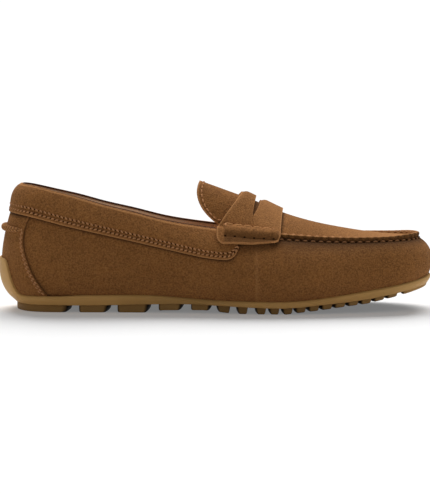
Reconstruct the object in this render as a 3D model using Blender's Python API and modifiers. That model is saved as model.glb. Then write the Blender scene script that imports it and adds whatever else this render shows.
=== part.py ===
# Moccasin loafer, right shoe, standing empty on its lugged rubber sole.
# Tables are in millimetres: +X runs to the toe, +Y to the inner side of the foot, +Z up.
import bmesh
import bpy
import numpy as np

NAME = "moccasin_loafer"
MM = 0.001

# Driving dimensions
HEEL_PIVOT = -110.0
TOE_PIVOT = 98.0
TURN_EASE = 0.08
UPPER_WALL = 2.0
GAP = 0.35
FLOOR_SHARE = 0.55
THROAT_X = 22.0

LIP_THICK = 1.2
TAB_THICK = 1.7
TAB_TOP = 34.4
TAB_HALF = 0.49
TAB_EASE = 0.035

INSOLE_THICK = 3.0
INSOLE_INSET = 3.0

COLLAR_THICK = 1.4
COLLAR_END_X = 15.0
COLLAR_CORNER = 9.0
COLLAR_PAD = 2.1
COLLAR_PAD_REACH = 0.8

STRIP_THICK = 1.2
STRIP_FOOT_Z = 11.2
ROLL_Z = 54.5
ROLL_HALF = 2.3
ROLL_RISE = 2.4
ROLL_REACH = 0.60

SEAM_START_X = 17.0
SEAM_RISE = 1.5
SEAM_ROLL_RISE = 2.8
SEAM_BELOW = 0.085
SEAM_ABOVE = 0.075

STRAP_THICK = 1.7
STRAP_LOW_BACK_Z = 44.5
STRAP_LOW_FRONT_Z = 45.6
STRAP_BACK_CROWN_X = 16.9
STRAP_BACK_SIDE_X = 0.9
STRAP_FRONT_CROWN_X = 44.9
STRAP_FRONT_SIDE_X = 42.2
STRAP_CORNER = 4.4
STRAP_LOOSE_BACK = 1.5
STRAP_LOOSE_FRONT = 0.7
SLOT_X = 29.0
SLOT_HALF_LENGTH = 22.0
SLOT_HALF_WIDTH = 2.5
SLOT_SWEEP = 3.7

TONGUE_THICK = 1.8
TONGUE_HALF = 24.5
TONGUE_EDGE_Z = 54.5
TONGUE_END_X = -10.4
TONGUE_BOW = 12.0
TONGUE_CORNER = 18.0
TONGUE_BUTT = 1.3

PEG_FIRST_X = 29.9
PEG_PITCH = 8.66
PEG_ROWS = 11
PEG_LENGTH = 5.4
PEG_WIDTH = 18.0
PEG_STEP_Y = 22.5
LUG_DRAFT = 0.5
LUG_CHANNEL = 6.0
LUG_SLANT = 4.5

# Plan of the last by position round the shoe: 0 is the heel, 1 the heel's side, 2 the toe's side, 3 the toe.
# Distances out from the middle line at the foot edge, belly, shoulder and rim, outer side then inner side,
# and the heights of belly and shoulder as shares of the wall.
# place, foot_o, belly_o, shoulder_o, rim_o, foot_i, belly_i, shoulder_i, rim_i, belly_h, shoulder_h
PLAN = np.array((
    (0.00, 22.2, 43.0, 21.0, 18.6, 22.2, 43.0, 21.0, 18.6, 0.19, 0.90),
    (0.50, 24.8, 43.0, 24.0, 18.4, 24.8, 43.0, 24.0, 18.4, 0.19, 0.88),
    (1.00, 30.5, 41.5, 28.0, 20.5, 30.0, 41.0, 28.0, 20.5, 0.18, 0.84),
    (1.25, 31.5, 42.0, 34.0, 25.5, 28.0, 38.0, 32.5, 25.5, 0.20, 0.76),
    (1.50, 36.5, 49.5, 42.0, 29.0, 28.5, 43.5, 39.5, 29.0, 0.28, 0.75),
    (1.75, 43.5, 56.5, 50.0, 32.5, 40.5, 55.0, 49.0, 32.0, 0.32, 0.80),
    (2.00, 36.0, 47.0, 43.5, 28.5, 41.5, 53.0, 48.5, 31.5, 0.34, 0.84),
    (2.50, 37.0, 45.0, 43.0, 29.5, 43.0, 51.0, 48.5, 34.5, 0.35, 0.85),
    (3.00, 43.0, 49.5, 47.5, 36.0, 43.0, 49.5, 47.5, 36.0, 0.35, 0.84),
))

# Side view of the sole: lug roots and the top of the side band
# x, root, band
SOLE = np.array((
    (-146.0, 4.9, 11.4),
    (-110.0, 4.9, 11.4),
    (-75.0, 5.0, 11.4),
    (-36.0, 5.9, 11.2),
    (-15.0, 6.0, 9.6),
    (4.0, 5.3, 8.5),
    (27.0, 4.4, 8.2),
    (50.0, 4.4, 8.4),
    (66.0, 5.8, 9.7),
    (83.0, 7.3, 12.0),
    (105.0, 10.0, 15.4),
    (120.0, 12.8, 18.0),
    (139.0, 16.9, 22.4),
    (147.0, 18.8, 24.4),
))

# Bottom of the tread: flat on the floor under heel and ball, raised at the waist and toe
# x, tread
TREAD = np.array((
    (-146.0, 0.0),
    (-46.0, 0.0),
    (-34.0, 1.6),
    (-8.0, 2.0),
    (4.0, 0.9),
    (12.0, 0.0),
    (46.0, 0.0),
    (57.0, 1.3),
    (66.0, 2.2),
    (83.0, 4.2),
    (99.0, 6.0),
    (116.0, 9.7),
    (138.0, 14.9),
    (147.0, 17.2),
))

# Top edge of the wall: collar at the back, apron seam at the front
# x, rim
RIM = np.array((
    (-140.0, 85.0),
    (-130.0, 83.5),
    (-107.0, 78.2),
    (-91.0, 74.4),
    (-75.0, 69.9),
    (-55.0, 65.2),
    (-36.0, 60.3),
    (-16.0, 56.7),
    (1.0, 54.4),
    (22.0, 52.0),
    (45.0, 49.7),
    (70.0, 47.9),
    (95.0, 47.1),
    (120.0, 47.4),
    (142.0, 47.8),
))

# Middle line of the apron, carried on as the middle line of the tongue
# x, crown
CROWN = np.array((
    (-20.0, 88.2),
    (-10.0, 84.8),
    (3.0, 80.4),
    (15.0, 76.0),
    (28.0, 70.8),
    (46.0, 63.3),
    (57.0, 59.8),
    (70.0, 56.5),
    (84.0, 53.8),
    (97.0, 51.6),
    (110.0, 49.9),
    (125.0, 48.5),
    (142.0, 47.8),
))

# Lower edge of the collar band
# x, low
COLLAR = np.array((
    (-142.0, 65.8),
    (-132.0, 64.7),
    (-120.0, 62.6),
    (-106.0, 58.7),
    (-79.0, 52.2),
    (-55.0, 47.0),
    (-41.0, 43.9),
    (-18.0, 38.8),
    (-2.0, 36.0),
    (16.0, 35.4),
))

# Side edge of the heel strip: height and place round the heel
# z, place
STRIP = np.array((
    (8.0, 0.945),
    (11.4, 0.92),
    (18.9, 0.86),
    (26.7, 0.79),
    (35.8, 0.72),
    (43.0, 0.67),
    (50.5, 0.65),
    (57.0, 0.67),
    (66.0, 0.76),
))

# Large lugs under heel and waist, then the bumper at the toe
# start, end
LUGS = np.array((
    (-136.0, -96.3),
    (-87.9, -70.4),
    (-63.0, -44.0),
    (-36.0, -23.0),
    (-15.0, -4.3),
))
SMALL_LUG_X = (5.8, 17.8)
TOE_LUG = (122.3, 142.0)


# Curves of the last
def spline(rows, x):
    """Natural cubic spline through rows of (x, values...) read at x."""
    xs, ys = rows[:, 0], rows[:, 1:]
    h = np.diff(xs)
    slope = np.diff(ys, axis=0) / h[:, None]
    a = np.eye(len(xs))
    b = np.zeros_like(ys)
    for i in range(1, len(xs) - 1):
        a[i, i - 1:i + 2] = h[i - 1], 2 * (h[i - 1] + h[i]), h[i]
        b[i] = 6 * (slope[i] - slope[i - 1])
    m = np.linalg.solve(a, b)
    x = np.clip(x, xs[0], xs[-1])
    i = np.clip(np.searchsorted(xs, x) - 1, 0, len(xs) - 2)
    u = (x - xs[i])[..., None]
    k = h[i][..., None]
    first = slope[i] - k * (2 * m[i] + m[i + 1]) / 6
    return ys[i] + u * first + u**2 * m[i] / 2 + u**3 * (m[i + 1] - m[i]) / (6 * k)


def read(rows, x, column=0):
    """One column of a table at x."""
    return spline(rows, np.asarray(x, float))[..., column]


def closed_plan():
    """The plan table for both sides as one loop, repeated so that the spline closes."""
    outer = PLAN[:, (0, 1, 2, 3, 4, 9, 10)]
    inner = PLAN[1:-1, (0, 5, 6, 7, 8, 9, 10)]
    inner[:, 0] *= -1
    loop = np.vstack((inner[::-1], outer))
    before, after = loop.copy(), loop.copy()
    before[:, 0] -= 6
    after[:, 0] += 6
    return np.vstack((before, loop, after))


PLAN_LOOP = closed_plan()


def soft(x):
    """Smooth ramp: nought below zero, x above."""
    return TURN_EASE * np.logaddexp(0, x / TURN_EASE)


def spoke(q):
    """Where the section at place q starts on the middle line, and the way it faces."""
    n = np.abs(q)
    along = soft(n - 1) - soft(n - 2)
    turn = soft(q + 1) - soft(q - 1) - 1 + np.sign(q) * (soft(n - 2) - soft(n - 4))
    angle = np.pi * (1 + turn / 2)
    return HEEL_PIVOT + (TOE_PIVOT - HEEL_PIVOT) * along, np.cos(angle), np.sin(angle)


def place_at(x):
    """Place on the outer side whose section crosses the middle line at x."""
    return 1 + (x - HEEL_PIVOT) / (TOE_PIVOT - HEEL_PIVOT)


def floor_z(x):
    """Height of the sole's inner floor."""
    root, band = read(SOLE, x, 0), read(SOLE, x, 1)
    return root + FLOOR_SHARE * (band - root)


def rim_line():
    """Rim of both sides as half-width by x, for the apron between them."""
    q = np.linspace(1.0, 3.0, 400)
    sides = []
    for s in (1, -1):
        o, c, d = spoke(s * q)
        r = spline(PLAN_LOOP, s * q)[..., 3]
        sides.append((o + r * c, np.abs(r * d)))
    return sides


RIM_OUTER, RIM_INNER = rim_line()


def apron_z(x, y):
    """Apron arched between the two rims up to the crown line."""
    half = np.where(y < 0, np.interp(x, *RIM_OUTER), np.interp(x, *RIM_INNER))
    u = np.clip(np.abs(y) / np.maximum(half, 0.001), 0, 1)
    rim = read(RIM, x)
    return rim + (read(CROWN, x) - rim) * (1 - u**2)


def skin(q, g):
    """Outer face of the upper: girth 0 is the foot edge, 1 the rim, 2 the crown, then down again to 4."""
    q, g = np.broadcast_arrays(np.asarray(q, float), np.asarray(g, float))
    over = g > 2
    q, g = np.where(over, -q, q), np.where(over, 4 - g, g)
    q = (q + 3) % 6 - 3
    o, c, s = spoke(q)
    foot, belly, shoulder, rim, belly_h, shoulder_h = np.moveaxis(spline(PLAN_LOOP, q), -1, 0)
    low = floor_z(o + foot * c) + GAP
    high = read(RIM, o + rim * c)
    t = np.clip(g, 0, 1)
    a = np.clip(g - 1, 0, 1)
    b0, b1, b2, b3 = (1 - t)**3, 3 * t * (1 - t)**2, 3 * t**2 * (1 - t), t**3
    r = b0 * foot + b1 * belly + b2 * shoulder + b3 * rim
    z = low + (high - low) * (b1 * belly_h + b2 * shoulder_h + b3)
    x, y = o + r * c * (1 - a), r * s * (1 - a)
    z = np.where(a > 0, apron_z(x, y), z)
    return np.stack((x, y, z), axis=-1)


def outward(q, g):
    """Unit normal of the skin, softened across the rim."""
    dq, dg = 0.01, 0.05
    g = np.maximum(g, dg)
    n = np.cross(skin(q + dq, g) - skin(q - dq, g), skin(q, g + dg) - skin(q, g - dg))
    return n / np.linalg.norm(n, axis=-1, keepdims=True)


def lifted(q, g, height):
    """Skin moved out by a height."""
    q, g, height = np.broadcast_arrays(q, g, height)
    return skin(q, g) + outward(q, g) * height[..., None]


def girth_at(q, z):
    """Girth at which the wall at place q has height z."""
    q, z = np.broadcast_arrays(np.asarray(q, float), np.asarray(z, float))
    low, high = np.zeros(q.shape), np.ones(q.shape)
    for _ in range(30):
        mid = (low + high) / 2
        under = skin(q, mid)[..., 2] < z
        low, high = np.where(under, mid, low), np.where(under, high, mid)
    return (low + high) / 2


# Meshes from the curves
def material(name, colour, roughness):
    mat = bpy.data.materials.new(name)
    mat.use_nodes = True
    shader = mat.node_tree.nodes["Principled BSDF"]
    shader.inputs["Base Color"].default_value = (*colour, 1.0)
    shader.inputs["Roughness"].default_value = roughness
    return mat


def add_object(name, points, faces, collection, mat=None):
    mesh = bpy.data.meshes.new(name)
    mesh.from_pydata((np.asarray(points) * MM).tolist(), [], [list(map(int, f)) for f in faces])
    mesh.validate()
    bm = bmesh.new()
    bm.from_mesh(mesh)
    bmesh.ops.remove_doubles(bm, verts=bm.verts, dist=0.00002)
    bmesh.ops.dissolve_degenerate(bm, edges=bm.edges, dist=0.00001)
    bmesh.ops.recalc_face_normals(bm, faces=bm.faces)
    bm.to_mesh(mesh)
    bm.free()
    obj = bpy.data.objects.new(name, mesh)
    collection.objects.link(obj)
    if mat:
        mesh.materials.append(mat)
    return obj


def grid_faces(rows, cols, first=0, closed=False):
    """Quads of a grid of points numbered row by row; closed joins the last column to the first."""
    i, j = np.meshgrid(np.arange(rows - 1), np.arange(cols if closed else cols - 1), indexing="ij")
    k = (j + 1) % cols
    quad = np.stack((i * cols + j, i * cols + k, (i + 1) * cols + k, (i + 1) * cols + j), axis=-1)
    return (quad.reshape(-1, 4) + first).tolist()


def sheet(name, under, over, collection, mat):
    """Closed piece between an under face and an over face on the same grid."""
    rows, cols = under.shape[:2]
    n = rows * cols
    index = np.arange(n).reshape(rows, cols)
    ring = np.concatenate((index[0], index[1:, -1], index[-1, -2::-1], index[-2:0:-1, 0]))
    side = np.stack((ring, np.roll(ring, -1), np.roll(ring, -1) + n, ring + n), axis=-1)
    faces = grid_faces(rows, cols) + grid_faces(rows, cols, n) + side.tolist()
    points = np.vstack((under.reshape(-1, 3), over.reshape(-1, 3)))
    return add_object(name, points, faces, collection, mat)


def slab(name, q, r, bottom, top, collection, mat=None, share=(1.0, 1.0), rungs=2):
    """Closed slab inside a loop of half-widths r: rungs run across from the outer to the inner side."""
    w = np.linspace(-1, 1, rungs)
    layers = []
    for z_of_x, part in ((bottom, share[0]), (top, share[1])):
        o, c, s = spoke(q)
        outer = np.stack((o + r(q) * part * c, r(q) * part * s), axis=-1)
        o, c, s = spoke(-q)
        inner = np.stack((o + r(-q) * part * c, r(-q) * part * s), axis=-1)
        mid = (outer + inner) / 2
        plan = mid[:, None] + (inner - outer)[:, None] / 2 * w[None, :, None]
        layers.append(np.dstack((plan, z_of_x(plan[..., 0]))))
    return sheet(name, layers[0], layers[1], collection, mat)


def add_modifier(obj, kind, **settings):
    mod = obj.modifiers.new(kind.title(), kind)
    for key, value in settings.items():
        setattr(mod, key, value)
    return mod


def columns(start, end, marks=()):
    """Places from the upper's own list between start and end, with the ends and any extra marks."""
    inside = [q for q in PLACES if start + 0.004 < q < end - 0.004]
    return np.array(sorted({start, end, *inside, *marks}))


# Clear the scene and make the collections
for old in list(bpy.data.objects):
    bpy.data.objects.remove(old, do_unlink=True)
shoe = bpy.data.collections.new(NAME)
cutters = bpy.data.collections.new("cutters")
for collection in (shoe, cutters):
    bpy.context.scene.collection.children.link(collection)

THROAT = place_at(THROAT_X)
HALF = np.concatenate((
    np.linspace(0, 1, 9)[:-1],
    np.linspace(1, THROAT, 12)[:-1],
    np.linspace(THROAT, 2, 7)[:-1],
    np.linspace(2, 3, 10),
))
PLACES = np.concatenate((-HALF[-2:0:-1], HALF))

# Upper: one shell of wall and apron, thickened inward, open at collar, throat and underneath
wall_g = np.linspace(0, 1, 9)**1.2
wall = skin(PLACES[None, :], wall_g[:, None])
front = PLACES[np.abs(PLACES) >= THROAT - 1e-6]
turn = np.argsort(front % 6)
front = front[turn]
apron_g = np.linspace(1, 2, 6)
apron = skin(front[None, :], apron_g[:, None])
upper_points = np.vstack((wall.reshape(-1, 3), apron.reshape(-1, 3)))
upper_faces = grid_faces(len(wall_g), len(PLACES), closed=True)
upper_faces += grid_faces(len(apron_g), len(front), len(wall_g) * len(PLACES))
suede = material("brown_suede", (0.16, 0.07, 0.03), 0.95)
upper = add_object("upper", upper_points, upper_faces, shoe, suede)
add_modifier(upper, "SOLIDIFY", thickness=UPPER_WALL * MM, offset=-1.0, use_even_offset=True)


# Outsole: floor, side band and heel tab in one loop of sections, with lugs joined below
def lip_z(q):
    """Top of the rubber round the shoe: the band's line, raised into a tab at the heel."""
    o, c, s = spoke(q)
    band = read(SOLE, o + spline(PLAN_LOOP, q)[..., 0] * c, 1)
    return band + (TAB_TOP - band) / (1 + np.exp((np.abs(q) - TAB_HALF) / TAB_EASE))


def foot_r(q):
    return spline(PLAN_LOOP, q)[..., 0]


TAB_MARKS = (0.40, 0.43, 0.46, 0.48, 0.50, 0.52, 0.54, 0.57, 0.60, 1.04, 1.10)
sole_q = np.array(sorted({*PLACES, *TAB_MARKS, *(-m for m in TAB_MARKS)}))
lip_g = girth_at(sole_q, lip_z(sole_q))
tab = 1 / (1 + np.exp((np.abs(sole_q) - TAB_HALF) / TAB_EASE))
over_strip = np.clip((1.10 - np.abs(sole_q)) / 0.06, 0, 1) * (STRIP_THICK + GAP)
rise = np.linspace(0, 1, 5)[:, None]
start_g = girth_at(sole_q, floor_z(skin(sole_q, 0.0)[:, 0]) + GAP + 0.75 * over_strip)
inside_g = start_g + rise * (lip_g - start_g)[None, :]
lip_in = lifted(sole_q[None, :], inside_g, GAP + over_strip)
lip_in[0, :, 2] = floor_z(lip_in[0, :, 0])
swell = (over_strip + LIP_THICK + (TAB_THICK - LIP_THICK) * tab)[None, :] + 0.8 * (1 - rise)
swell[-1] -= 0.5
lip_out = lifted(sole_q[None, :], inside_g * 0.985, GAP + swell)
lip_out[0, :, 2] = np.minimum(lip_out[0, :, 2], lip_in[0, :, 2] + 0.4)
o, c, s = spoke(sole_q)
root_r = foot_r(sole_q) + 0.8
root = np.stack((o + root_r * c, root_r * s, read(SOLE, o + root_r * c, 0)), axis=-1)[None]
loops = np.concatenate((lip_in, lip_out[::-1], root))
n_loop, n_place = loops.shape[:2]
sole_faces = grid_faces(n_loop, n_place, closed=True)
sole_points = loops.reshape(-1, 3)
start = int(np.argmin(np.abs(sole_q)))
half_count = n_place // 2
for row, base in ((0, 0), (n_loop - 1, (n_loop - 1) * n_place)):
    one = [(start + k) % n_place for k in range(half_count + 1)]
    two = [(start - k) % n_place for k in range(half_count + 1)]
    sole_faces += [[base + one[k], base + one[k + 1], base + two[k + 1], base + two[k]]
                   for k in range(1, half_count - 1)]
    sole_faces += [[base + one[0], base + one[1], base + two[1]]]
    sole_faces += [[base + one[half_count - 1], base + one[half_count], base + two[half_count - 1]]]
gum = material("gum_rubber", (0.24, 0.13, 0.05), 0.55)
outsole = add_object("outsole", sole_points, sole_faces, shoe, gum)


def tread_z(x):
    return np.interp(x, TREAD[:, 0], TREAD[:, 1])


def lug_box(x0, x1, y0, y1, slant=0.0):
    """Corner points of one lug, narrower at the tread; slant moves its toe-side face forward at y1."""
    mid = (x0 + x1) / 2
    rows = []
    low, high = min(tread_z(x0), tread_z(x1)) - 1.0, read(SOLE, mid, 0) + 1.0
    for z, d in ((low, -LUG_DRAFT), (high, LUG_DRAFT)):
        rows += [(x0 - d, y0, z), (x1 + d, y0, z), (x1 + d + slant, y1, z), (x0 - d, y1, z)]
    return rows


boxes = []
for x0, x1 in LUGS:
    boxes.append(lug_box(x0, x1, -70.0, -LUG_CHANNEL, LUG_SLANT))
    boxes.append(lug_box(x0, x1, 70.0, LUG_CHANNEL, LUG_SLANT))
peg_x = list(SMALL_LUG_X) + [PEG_FIRST_X + PEG_PITCH * k for k in range(PEG_ROWS)]
for x in peg_x:
    for k in range(-2, 3):
        y = k * PEG_STEP_Y
        boxes.append(lug_box(x - PEG_LENGTH / 2, x + PEG_LENGTH / 2, y - PEG_WIDTH / 2, y + PEG_WIDTH / 2))
boxes.append(lug_box(*TOE_LUG, -70.0, 70.0))
box_faces = np.array(((0, 1, 2, 3), (4, 5, 6, 7), (0, 1, 5, 4), (1, 2, 6, 5), (2, 3, 7, 6), (3, 0, 4, 7)))
lug_faces = np.vstack([box_faces + 8 * k for k in range(len(boxes))])
lug_boxes = add_object("lug_boxes", np.array(boxes).reshape(-1, 3), lug_faces, cutters)

tread_block = slab("tread_block", np.linspace(0, 3, 37), lambda q: foot_r(q) + 0.2, tread_z,
                   lambda x: read(SOLE, x, 0) + 0.9, cutters, share=(0.985, 1.0))
add_modifier(tread_block, "BOOLEAN", operation="INTERSECT", solver="EXACT", object=lug_boxes)
add_modifier(outsole, "BOOLEAN", operation="UNION", solver="EXACT", object=tread_block)

# Insole: a flat board cut to the inside of the wall, lying on the sole's floor
insole = slab("insole", np.linspace(0, 3, 33), lambda q: foot_r(q) - INSOLE_INSET,
              lambda x: floor_z(x) + GAP, lambda x: floor_z(x) + GAP + INSOLE_THICK,
              shoe, material("tan_lining", (0.42, 0.24, 0.13), 0.8), rungs=5)

# Tongue: carries the apron's line back past the strap, with a rounded free end
v = np.sin(np.linspace(-1, 1, 19) * np.pi / 2)[None, :]
end_x = TONGUE_END_X - TONGUE_BOW * v**2 * (1 - v**2) + TONGUE_CORNER * np.abs(v)**7
tongue_x = end_x + (THROAT_X - TONGUE_BUTT - end_x) * np.linspace(0, 1, 8)[:, None]
tongue_y = TONGUE_HALF * v + 0 * tongue_x
tongue_crown = read(CROWN, tongue_x)
tongue_z = tongue_crown - (tongue_crown - TONGUE_EDGE_Z) * np.abs(v)**2.2
tongue_over = np.dstack((tongue_x, tongue_y, tongue_z))
tilt = np.cross(np.gradient(tongue_over, axis=0), np.gradient(tongue_over, axis=1))
tilt /= np.linalg.norm(tilt, axis=-1, keepdims=True)
tongue_under = tongue_over - TONGUE_THICK * tilt * np.sign(tilt[..., 2:])
tongue = sheet("tongue", tongue_under, tongue_over, shoe, material("tongue_suede", (0.19, 0.09, 0.04), 0.95))


# Collar band: wide strip of suede round the opening, its front ends under the strap
def collar_low(x):
    corner = np.clip(x - (COLLAR_END_X - COLLAR_CORNER), 0, COLLAR_CORNER * 0.999)
    return read(COLLAR, x) + COLLAR_CORNER - np.sqrt(COLLAR_CORNER**2 - corner**2)


def wall_x(q):
    o, c, s = spoke(q)
    return o + spline(PLAN_LOOP, q)[..., 3] * c


collar_end = place_at(COLLAR_END_X)
END_MARKS = [collar_end - m for m in (0.004, 0.010, 0.020)]
collar_q = columns(-collar_end, collar_end, END_MARKS + [-m for m in END_MARKS])
collar_g = girth_at(collar_q, collar_low(wall_x(collar_q)))
collar_up = np.array((0, 0.2, 0.4, 0.6, 0.8, 0.92, 1.0))[:, None]
collar_rows = collar_g[None, :] + (1 - collar_g)[None, :] * collar_up
collar_pad = COLLAR_PAD * np.exp(-(collar_q / COLLAR_PAD_REACH)**4) * np.sin(np.pi * collar_up**1.1)
collar_out = GAP + COLLAR_THICK * (1 - 0.7 * collar_up**6) + collar_pad
collar = sheet("collar_band", lifted(collar_q[None, :], collar_rows, GAP),
               lifted(collar_q[None, :], collar_rows, collar_out), shoe,
               material("collar_suede", (0.17, 0.08, 0.035), 0.95))

# Heel strip: suede panel up the back of the heel, tucked behind the rubber tab, up to the collar band
share = np.linspace(-1, 1, 19)[None, :]
height = np.linspace(0, 1, 12)[:, None]**1.2
strip_q = share * read(STRIP, STRIP_FOOT_Z + (64.0 - STRIP_FOOT_Z) * height)
strip_top = collar_low(wall_x(strip_q)) - 0.6
strip_g = girth_at(strip_q, STRIP_FOOT_Z + (strip_top - STRIP_FOOT_Z) * height)
strip = sheet("heel_strip", lifted(strip_q, strip_g, GAP), lifted(strip_q, strip_g, GAP + STRIP_THICK),
              shoe, material("heel_suede", (0.15, 0.07, 0.03), 0.95))

# Heel roll: raised sewn roll lying across the heel strip, thickest in the middle
roll_q = np.linspace(-ROLL_REACH, ROLL_REACH, 17)[None, :]
across = np.linspace(-1, 1, 7)[:, None]
taper = 1 - 0.65 * np.abs(roll_q / ROLL_REACH)**1.5
roll_g = girth_at(roll_q, ROLL_Z - 1.5 * np.abs(roll_q) + ROLL_HALF * across * taper)
roll_in = GAP * 2 + STRIP_THICK
roll_out = roll_in + 0.3 + (ROLL_RISE - 0.3) * taper * np.sqrt(1 - across**2)
heel_roll = sheet("heel_roll", lifted(roll_q, roll_g, roll_in), lifted(roll_q, roll_g, roll_out), shoe,
                  material("roll_suede", (0.18, 0.08, 0.035), 0.95))

# Apron seam: raised hand-sewn ridge where wall and apron meet, a U round the toe
seam_start = place_at(SEAM_START_X)
seam_half = [q for q in HALF if q > seam_start + 0.004]
seam_q = np.array([seam_start, *seam_half[:-1], *(6 - q for q in seam_half[::-1]), 6 - seam_start])[None, :]
side = np.linspace(-1, 1, 7)[:, None]
seam_g = 1 + np.where(side < 0, SEAM_BELOW, SEAM_ABOVE) * side + 0 * seam_q
under_strap = np.clip((44.0 - skin(seam_q, 1.0)[..., 0]) / 3.0, 0, 1)
seam_rise = SEAM_RISE + (SEAM_ROLL_RISE - SEAM_RISE) * under_strap
seam = sheet("apron_seam", lifted(seam_q, seam_g, GAP),
             lifted(seam_q, seam_g, GAP + 0.5 + seam_rise * (1 - side**2)**0.6), shoe,
             material("seam_suede", (0.17, 0.08, 0.035), 0.95))

# Penny strap: saddle over the instep from side to side, riding over the seam's roll and the collar ends
part_way = np.linspace(0, 1, 9)[None, :]
low_z = STRAP_LOW_BACK_Z + (STRAP_LOW_FRONT_Z - STRAP_LOW_BACK_Z) * part_way
low_o = girth_at(place_at(3.0 + 38.0 * part_way), low_z)
low_i = girth_at(-place_at(3.0 + 38.0 * part_way), low_z)
over = np.vstack((
    low_o + (1.2 - low_o) * np.linspace(0, 1, 10)[:-1, None],
    1.2 + 1.6 * np.linspace(0, 1, 11)[:-1, None] + 0 * part_way,
    2.8 + (1.2 - low_i) * np.linspace(0, 1, 10)[:, None],
))
lean = np.where(over < 2, (2 - over) / (2 - low_o), (over - 2) / (2 - low_i))
from_end = np.minimum(over - low_o, 4 - low_i - over) / 0.12
corner = STRAP_CORNER * (1 - np.sqrt(1 - np.clip(1 - from_end, 0, 1)**2))
mid_z = skin(place_at(10.0), over)[..., 2]
mid_rim = float(read(RIM, 10.0))
sweep = np.clip((mid_z - mid_rim) / (float(read(CROWN, 10.0)) - mid_rim), 0, 1)
back_x = STRAP_BACK_SIDE_X + (STRAP_BACK_CROWN_X - STRAP_BACK_SIDE_X) * sweep + corner
front_x = STRAP_FRONT_CROWN_X + (STRAP_FRONT_SIDE_X - STRAP_FRONT_CROWN_X) * lean - corner
strap_x = back_x + (front_x - back_x) * part_way
strap_q = place_at(strap_x)
girth = np.where(over < 2, over, 4 - over)
over_roll = np.exp(-((girth - 1) / 0.11)**4) * np.clip((strap_x - 8.5) / 3.0, 0, 1)
seam_room = (SEAM_ROLL_RISE + 0.9) * over_roll
below = np.clip((1.03 - girth) / 0.03, 0, 1)
band_room = (COLLAR_THICK + GAP) * below * np.clip((20.5 - strap_x) / 2.5, 0, 1)
loose = STRAP_LOOSE_BACK + (STRAP_LOOSE_FRONT - STRAP_LOOSE_BACK) * part_way
crown_room = loose * np.exp(-((over - 2) / 0.55)**4)
strap_in = GAP + np.maximum(np.maximum(seam_room, band_room), crown_room)
strap = sheet("penny_strap", lifted(strap_q, over, strap_in), lifted(strap_q, over, strap_in + STRAP_THICK),
              shoe, material("strap_suede", (0.20, 0.10, 0.045), 0.95))
along = np.linspace(-1, 1, 13)
slot_mid = SLOT_X - SLOT_SWEEP * along**2
slot_half = SLOT_HALF_WIDTH * (1 - along[1:-1]**2)
slot_xy = np.vstack((
    np.stack((slot_mid, along * SLOT_HALF_LENGTH), axis=-1) - np.pad(slot_half, 1)[:, None] * (1, 0),
    (np.stack((slot_mid, along * SLOT_HALF_LENGTH), axis=-1)[1:-1] + slot_half[:, None] * (1, 0))[::-1],
))
count = len(slot_xy)
slot_points = [(x, y, z) for z in (40.0, 100.0) for x, y in slot_xy]
slot_faces = [list(range(count)), list(range(count, 2 * count))]
slot_faces += [[k, (k + 1) % count, (k + 1) % count + count, k + count] for k in range(count)]
slot = add_object("slot", slot_points, slot_faces, cutters)
add_modifier(strap, "BOOLEAN", operation="DIFFERENCE", solver="EXACT", object=slot)

for cutter in cutters.objects:
    cutter.hide_render = True
    cutter.display_type = "WIRE"
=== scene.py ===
import bmesh
import bpy
import numpy as np
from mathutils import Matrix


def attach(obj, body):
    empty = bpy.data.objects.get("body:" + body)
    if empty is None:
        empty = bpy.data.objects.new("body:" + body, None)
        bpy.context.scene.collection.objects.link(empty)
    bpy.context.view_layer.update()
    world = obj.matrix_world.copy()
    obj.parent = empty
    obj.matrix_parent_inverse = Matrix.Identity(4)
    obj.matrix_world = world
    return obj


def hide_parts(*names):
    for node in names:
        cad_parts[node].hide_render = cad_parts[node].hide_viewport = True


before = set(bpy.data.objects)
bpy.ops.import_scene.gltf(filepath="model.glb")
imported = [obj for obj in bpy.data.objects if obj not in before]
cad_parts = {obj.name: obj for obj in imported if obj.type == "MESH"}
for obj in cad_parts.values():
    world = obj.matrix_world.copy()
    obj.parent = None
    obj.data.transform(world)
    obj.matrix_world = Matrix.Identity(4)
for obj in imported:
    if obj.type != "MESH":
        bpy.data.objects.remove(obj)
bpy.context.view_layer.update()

# Outsole
# One moulding of gum rubber, cemented round the foot edge of the upper. Its side band climbs into a tab at
# the back of the heel. Blocks under heel and waist, rows of pegs ahead of them and a bumper at the toe are
# the tread. Sizes here and below are in millimetres: +X to the toe, +Y to the inner side of the foot, +Z up.
MM = 0.001
GAP = 0.35
HEEL_PIVOT, TOE_PIVOT, TURN_EASE = -110.0, 98.0, 0.08
FLOOR_SHARE = 0.55
BAND_THICK, BAND_FLARE, BAND_BULGE, LIP_ROUND = 1.2, 0.8, 0.25, 0.55
TAB_TOP, TAB_HALF, TAB_EASE, TAB_FLARE = 34.4, 0.49, 0.035, 0.2
STRIP_THICK = 1.2
ROOT_REACH, ROOT_TUCK, TREAD_REACH = 0.8, 0.9, 0.2
LUG_SUNK, LUG_CHANNEL, LUG_SLANT, LUG_DRAFT = 0.9, 6.0, 3.2, (0.0, 1.2)
# painted shade laid on the faces of the heel and waist blocks and of the toe bumper
LUG_SHADE, TOE_SHADE = 0.42, 0.15
PEG_FIRST_X, PEG_PITCH, PEG_ROWS, PEG_LENGTH, PEG_STEP_Y, PEG_FILL = 29.9, 8.66, 11, 6.2, 22.5, 0.82
# the pegs lean more and carry less painted shade towards the toe: where that starts and ends, and the
# values there
PEG_TURN, PEG_SLANT, PEG_SHADE = (40.0, 80.0), (-1.8, -4.0), (0.55, 0.37)
PEG_HEEL_DRAFT, PEG_TOE_DRAFT = (1.0, 0.0), 0.9

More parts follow.
